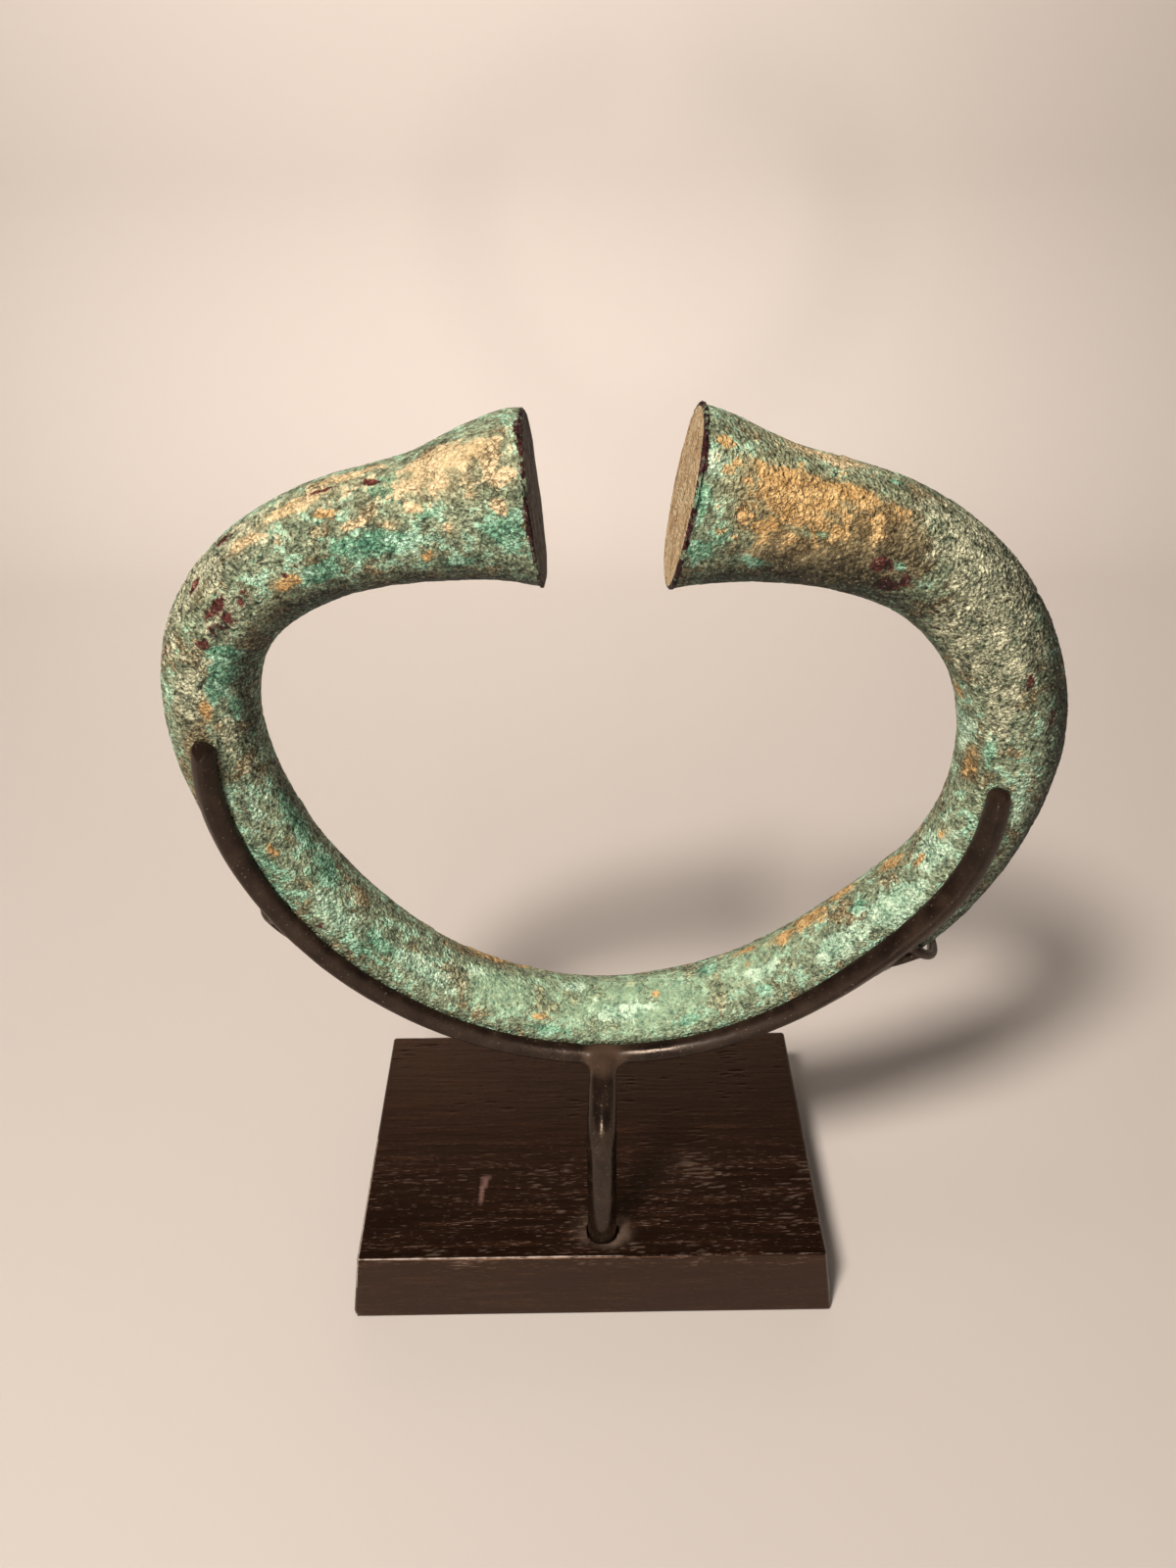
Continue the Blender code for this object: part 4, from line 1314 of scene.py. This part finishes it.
def paint_ring(ring):
    """Old copper-alloy patina: a mineral crust of green carbonates, ochre and tan earth and dark red
    cuprite over a cast bronze body. Its hues change over patches of 3 to 9 mm. It has grown in flakes
    with cracks between them, and in grains of under a millimetre that are lightest in their middles,
    whose lightness is partly painted light and shade of the relief. It is matt, dark in its pits and
    seams, with a few grains lightened as painted glints, and bare brown at its rims. Painted shade
    darkens it under the arms and along the right side's outer edge, and the left end face is painted
    dark as shade.
    """
    made, tree, shader = new_material("verdigris_crusted_cast_bronze")
    place = add(tree, "ShaderNodeTexCoord", "Object")
    pattern = ring_patterns(tree, place)
    field = {name: add(tree, "ShaderNodeAttribute", "Fac", attribute_name=name)
             for name in (*PATCHES, "relief", "face", "left_face", "rim")}
    sums = crust_sums(tree, pattern, field)

    dark = hollow_share(tree, pattern, sums)
    hollow = add(tree, "ShaderNodeValToRGB", "Color", {"Fac": pattern["patch"]}, HOLLOW_STOPS)
    # Painted glints: a few grains are lightened to near white as highlights on their facets
    glint = add(tree, "ShaderNodeMapRange", "Result", {
        "Value": pattern["speck"], "From Min": 0.66, "From Max": 0.74, "To Max": 0.55})
    worn = add(tree, "ShaderNodeMapRange", "Result", {
        "Value": sums["rim"], "From Min": 0.46, "From Max": 0.62}, interpolation_type="SMOOTHSTEP")
    bared = add(tree, "ShaderNodeValToRGB", "Color", {"Fac": sums["tone"]}, RIM_STOPS)
    inside = add(tree, "ShaderNodeMapRange", "Result", {
        "Value": field["face"], "From Min": 0.75, "From Max": 0.95}, interpolation_type="SMOOTHSTEP")
    cut = face_colour(tree, place, pattern, field)
    colour = crust_colour(tree, pattern, field, sums)
    for mask, over in ((dark, hollow), (glint, linear("#e3e6d0")), (worn, bared), (inside, cut)):
        colour = add(tree, "ShaderNodeMix", "Result", {"Factor": mask, "A": colour, "B": over},
                     data_type="RGBA")
    tree.links.new(colour, shader.inputs["Base Color"])

    rough = add(tree, "ShaderNodeMapRange", "Result", {
        "Value": pattern["grain"], "From Min": 0.35, "From Max": 0.65, "To Min": 0.90, "To Max": 0.55})
    tree.links.new(rough, shader.inputs["Roughness"])
    sunk = add(tree, "ShaderNodeMath", "Value", {0: dark, 1: -0.25, 2: sums["height"]},
               operation="MULTIPLY_ADD")
    plate = add(tree, "ShaderNodeMapRange", "Result", {
        "Value": pattern["flake"], "From Max": 0.12, "To Max": 0.14})
    rise = add(tree, "ShaderNodeMath", "Value", {0: sunk, 1: plate}, operation="ADD")
    height = add(tree, "ShaderNodeMath", "Value", {0: rise, 1: sums["firm"]}, operation="MULTIPLY")
    bump = add(tree, "ShaderNodeBump", "Normal", {"Distance": 1.0 * MM, "Height": height})
    tree.links.new(bump, shader.inputs["Normal"])
    ring.data.materials.append(made)


def paint_cradle(cradle):
    """Forged mild steel, blackened with oil and heat: near black with a brown cast, under a thin film
    of oil. The black oxide hides most of the metal, so it is only partly metallic. The strap is dull
    from the hammer, the post is smoother and the brazed joint is matt.
    """
    made, tree, shader = new_material("oil_blackened_forged_steel")
    place = add(tree, "ShaderNodeTexCoord", "Object")
    cloud = add(tree, "ShaderNodeTexNoise", "Fac", {
        "Scale": 1 / (7 * MM), "Detail": 6.0, "Roughness": 0.65, "Vector": place})
    speck = add(tree, "ShaderNodeTexNoise", "Fac", {
        "Scale": 1 / (0.6 * MM), "Detail": 3.0, "Roughness": 0.6, "Vector": place})
    skin = add(tree, "ShaderNodeValToRGB", "Color", {"Fac": cloud}, (
        (0.36, "#19110d"), (0.52, "#251b15"), (0.68, "#34281f")))
    rub = add(tree, "ShaderNodeMapRange", "Result", {
        "Value": speck, "From Min": 0.65, "From Max": 0.72, "To Max": 0.4})
    brazed = add(tree, "ShaderNodeAttribute", "Fac", attribute_name="brazed")
    brass = add(tree, "ShaderNodeMapRange", "Result", {"Value": brazed, "To Max": 0.6})
    skin = add(tree, "ShaderNodeMix", "Result", {"Factor": brass, "A": skin, "B": linear("#574437")},
               data_type="RGBA")
    colour = add(tree, "ShaderNodeMix", "Result", {"Factor": rub, "A": skin, "B": linear("#a08c7a")},
                 data_type="RGBA")
    tree.links.new(colour, shader.inputs["Base Color"])
    shader.inputs["Metallic"].default_value = 0.35
    shader.inputs["Specular IOR Level"].default_value = 0.35
    shader.inputs["Specular Tint"].default_value = linear("#ecd2ba")
    shader.inputs["Coat Weight"].default_value = 0.16
    shader.inputs["Coat Roughness"].default_value = 0.22
    dull = add(tree, "ShaderNodeMapRange", "Result", {
        "Value": cloud, "From Min": 0.35, "From Max": 0.65, "To Min": 0.34, "To Max": 0.52})
    polish = add(tree, "ShaderNodeAttribute", "Fac", attribute_name="polish")
    smooth = add(tree, "ShaderNodeMath", "Value", {0: polish, 1: -0.21, 2: dull}, operation="MULTIPLY_ADD")
    rough = add(tree, "ShaderNodeMath", "Value", {0: brazed, 1: 0.12, 2: smooth}, operation="MULTIPLY_ADD")
    tree.links.new(rough, shader.inputs["Roughness"])
    bump = add(tree, "ShaderNodeBump", "Normal", {"Strength": 0.6, "Distance": 0.05 * MM, "Height": speck})
    tree.links.new(bump, shader.inputs["Normal"])
    cradle.data.materials.append(made)


def paint_base(base):
    """Ebonised hardwood under thin wax: almost black brown, with open pores as short fine dashes
    along the grain, filled pale towards the front with dust and a painted highlight of their edges
    catching the light, a satin sheen on the flats, and a front edge that is rubbed and carries a
    painted highlight, most on its left. The dashes are 3.2 by 0.22 mm and the grain 22 by 1.6 mm.
    """
    made, tree, shader = new_material("ebonised_waxed_hardwood")
    place = add(tree, "ShaderNodeTexCoord", "Object")
    noise = {}
    for name, length, breadth, detail, rough, wander in (
            ("grain", 22.0, 1.6, 5.0, 0.60, 0.0),
            ("dash", 3.2, 0.22, 2.0, 0.45, 0.35),
            ("rub", 4.0, 4.0, 4.0, 0.65, 0.0)):
        along = add(tree, "ShaderNodeMapping", "Vector", {
            "Scale": (1 / (length * MM), 1 / (breadth * MM), 1 / (breadth * MM)), "Vector": place})
        noise[name] = add(tree, "ShaderNodeTexNoise", "Fac", {
            "Scale": 1.0, "Detail": detail, "Roughness": rough, "Distortion": wander, "Vector": along})
    field = {name: add(tree, "ShaderNodeAttribute", "Fac", attribute_name=name)
             for name in ("pore", "dust_and_pore_highlight", "halo", "scar", "edge")}

    colour = add(tree, "ShaderNodeValToRGB", "Color", {"Fac": noise["grain"]}, (
        (0.35, "#0b0402"), (0.55, "#160a05"), (0.72, "#2a160b")))
    crowd = add(tree, "ShaderNodeMath", "Value", {0: noise["grain"], 1: 0.4, 2: noise["dash"]},
                operation="MULTIPLY_ADD")
    dashes = add(tree, "ShaderNodeMapRange", "Result", {
        "Value": crowd, "From Min": 0.85, "From Max": 0.93, "To Max": 0.6})
    deep = add(tree, "ShaderNodeMath", "Value", {0: field["pore"], 1: 0.35}, operation="MULTIPLY")
    pores = add(tree, "ShaderNodeMath", "Value", {0: deep, 1: dashes}, operation="MAXIMUM")
    # pale fill of the front pores: dust, and a painted highlight of pore edges catching the light
    pore_fill_and_highlight = add(tree, "ShaderNodeMix", "Result", {
        "Factor": field["dust_and_pore_highlight"], "A": linear("#080402"), "B": linear("#867265")}, data_type="RGBA")
    # the lightened front top edge: wear and a painted highlight
    worn = add(tree, "ShaderNodeMath", "Value", {0: field["edge"], 1: noise["rub"]}, operation="MULTIPLY")
    rubbed = add(tree, "ShaderNodeMapRange", "Result", {
        "Value": worn, "From Min": 0.24, "From Max": 0.42, "To Max": 0.8})
    for mask, over in (
            (pores, pore_fill_and_highlight),
            (field["halo"], linear("#7b685a")),
            (field["scar"], linear("#8a6a62")),
            (rubbed, linear("#c4b2a6"))):
        colour = add(tree, "ShaderNodeMix", "Result", {"Factor": mask, "A": colour, "B": over},
                     data_type="RGBA")
    tree.links.new(colour, shader.inputs["Base Color"])
    dull = add(tree, "ShaderNodeMath", "Value", {0: pores, 1: field["halo"]}, operation="MAXIMUM")
    rough = add(tree, "ShaderNodeMath", "Value", {0: dull, 1: 0.50, 2: 0.23}, operation="MULTIPLY_ADD")
    tree.links.new(rough, shader.inputs["Roughness"])
    shader.inputs["Specular Tint"].default_value = linear("#ffc8a2")
    shader.inputs["Specular IOR Level"].default_value = 0.55
    height = add(tree, "ShaderNodeMath", "Value", {0: dashes, 1: -1.0, 2: noise["grain"]},
                 operation="MULTIPLY_ADD")
    bump = add(tree, "ShaderNodeBump", "Normal", {"Strength": 0.6, "Distance": 0.08 * MM, "Height": height})
    tree.links.new(bump, shader.inputs["Normal"])
    base.data.materials.append(made)


def make_stage():
    """A plain pale sweep: a flat floor that turns up into a low wall well behind the stand."""
    reach, wall, height, radius = 3.0, 0.62, 0.72, 0.20
    turn = np.linspace(0, math.pi / 2, 25)
    y = np.concatenate(((-reach,), wall - radius + radius * np.sin(turn), (wall,)))
    z = np.concatenate(((0.0,), radius - radius * np.cos(turn), (height,)))
    x = np.array((-reach, reach))
    grid = np.stack((np.repeat(x, len(y)), np.tile(y, 2), np.tile(z, 2)), axis=-1)
    faces = [(i, i + len(y), i + len(y) + 1, i + 1) for i in range(len(y) - 1)]
    sweep = make_mesh("sweep", grid, faces)
    made, _, shader = new_material("matt_paper")
    shader.inputs["Base Color"].default_value = linear("#c0b8b1")
    shader.inputs["Roughness"].default_value = 0.9
    sweep.data.materials.append(made)


def add_light(name, place, target, size, watts, colour, spread=180, mirrored=True):
    """A round lamp turned to its target; the spread is in degrees, and not every lamp is mirrored."""
    lamp = bpy.data.lights.new(name, "AREA")
    lamp.shape = "DISK"
    lamp.size = size
    lamp.energy = watts
    lamp.color = linear(colour)[:3]
    lamp.spread = math.radians(spread)
    made = bpy.data.objects.new(name, lamp)
    made.location = place
    made.rotation_euler = (Vector(target) - Vector(place)).to_track_quat("-Z", "Y").to_euler()
    made.visible_glossy = mirrored
    bpy.context.scene.collection.objects.link(made)


def light_stage():
    """A soft key from the upper left in front that nothing mirrors, a small low lamp that glints in
    the metal, a narrow wash on the backdrop and a weak surround.
    """
    add_light("key", (-0.31, -0.47, 0.94), (0.0, 0.0, 0.12), 0.20, 15.5, "#fff6ee", mirrored=False)
    add_light("glint", (-0.08, -1.25, 0.16), (0.0, 0.0, 0.07), 0.13, 0.48, "#fff5ec", spread=60)
    add_light("wall_wash", (-0.25, 0.16, 1.15), (0.0, 0.75, 0.25), 0.50, 2.3, "#fff6ee", spread=75)
    world = bpy.data.worlds.new("surround")
    world.use_nodes = True
    sky = world.node_tree.nodes["Background"]
    sky.inputs["Color"].default_value = linear("#f4ece4")
    sky.inputs["Strength"].default_value = 0.10
    bpy.context.scene.world = world


def add_camera():
    """The photograph's view, with a lens that fills a frame whose long side is 36 mm."""
    down, left, roll = np.radians((CAMERA_DOWN, CAMERA_LEFT, CAMERA_ROLL))
    lens = bpy.data.cameras.new("photograph")
    lens.sensor_width = 36.0
    lens.lens = CAMERA_LENS
    lens.clip_start = 0.01
    made = bpy.data.objects.new("photograph", lens)
    turn = Matrix.Rotation(left, 4, "Z") @ Matrix.Rotation(math.pi / 2 - down, 4, "X")
    made.matrix_world = Matrix.Translation(CAMERA_PLACE) @ turn @ Matrix.Rotation(roll, 4, "Z")
    bpy.context.scene.collection.objects.link(made)
    bpy.context.scene.camera = made


add_camera()
ring = make_ring()
paint_ring(ring)
cradle = make_cradle()
paint_cradle(cradle)
base = make_base()
paint_base(base)
for piece, node, slot in (
        (ring, "manilla", "corroded_copper_alloy"),
        (cradle, "cradle", "blackened_steel"),
        (base, "base", "ebonised_wood")):
    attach(piece, "root")
    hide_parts(node)
make_stage()
light_stage()
bpy.context.scene.view_settings.view_transform = "Standard"

bpy.context.view_layer.update()
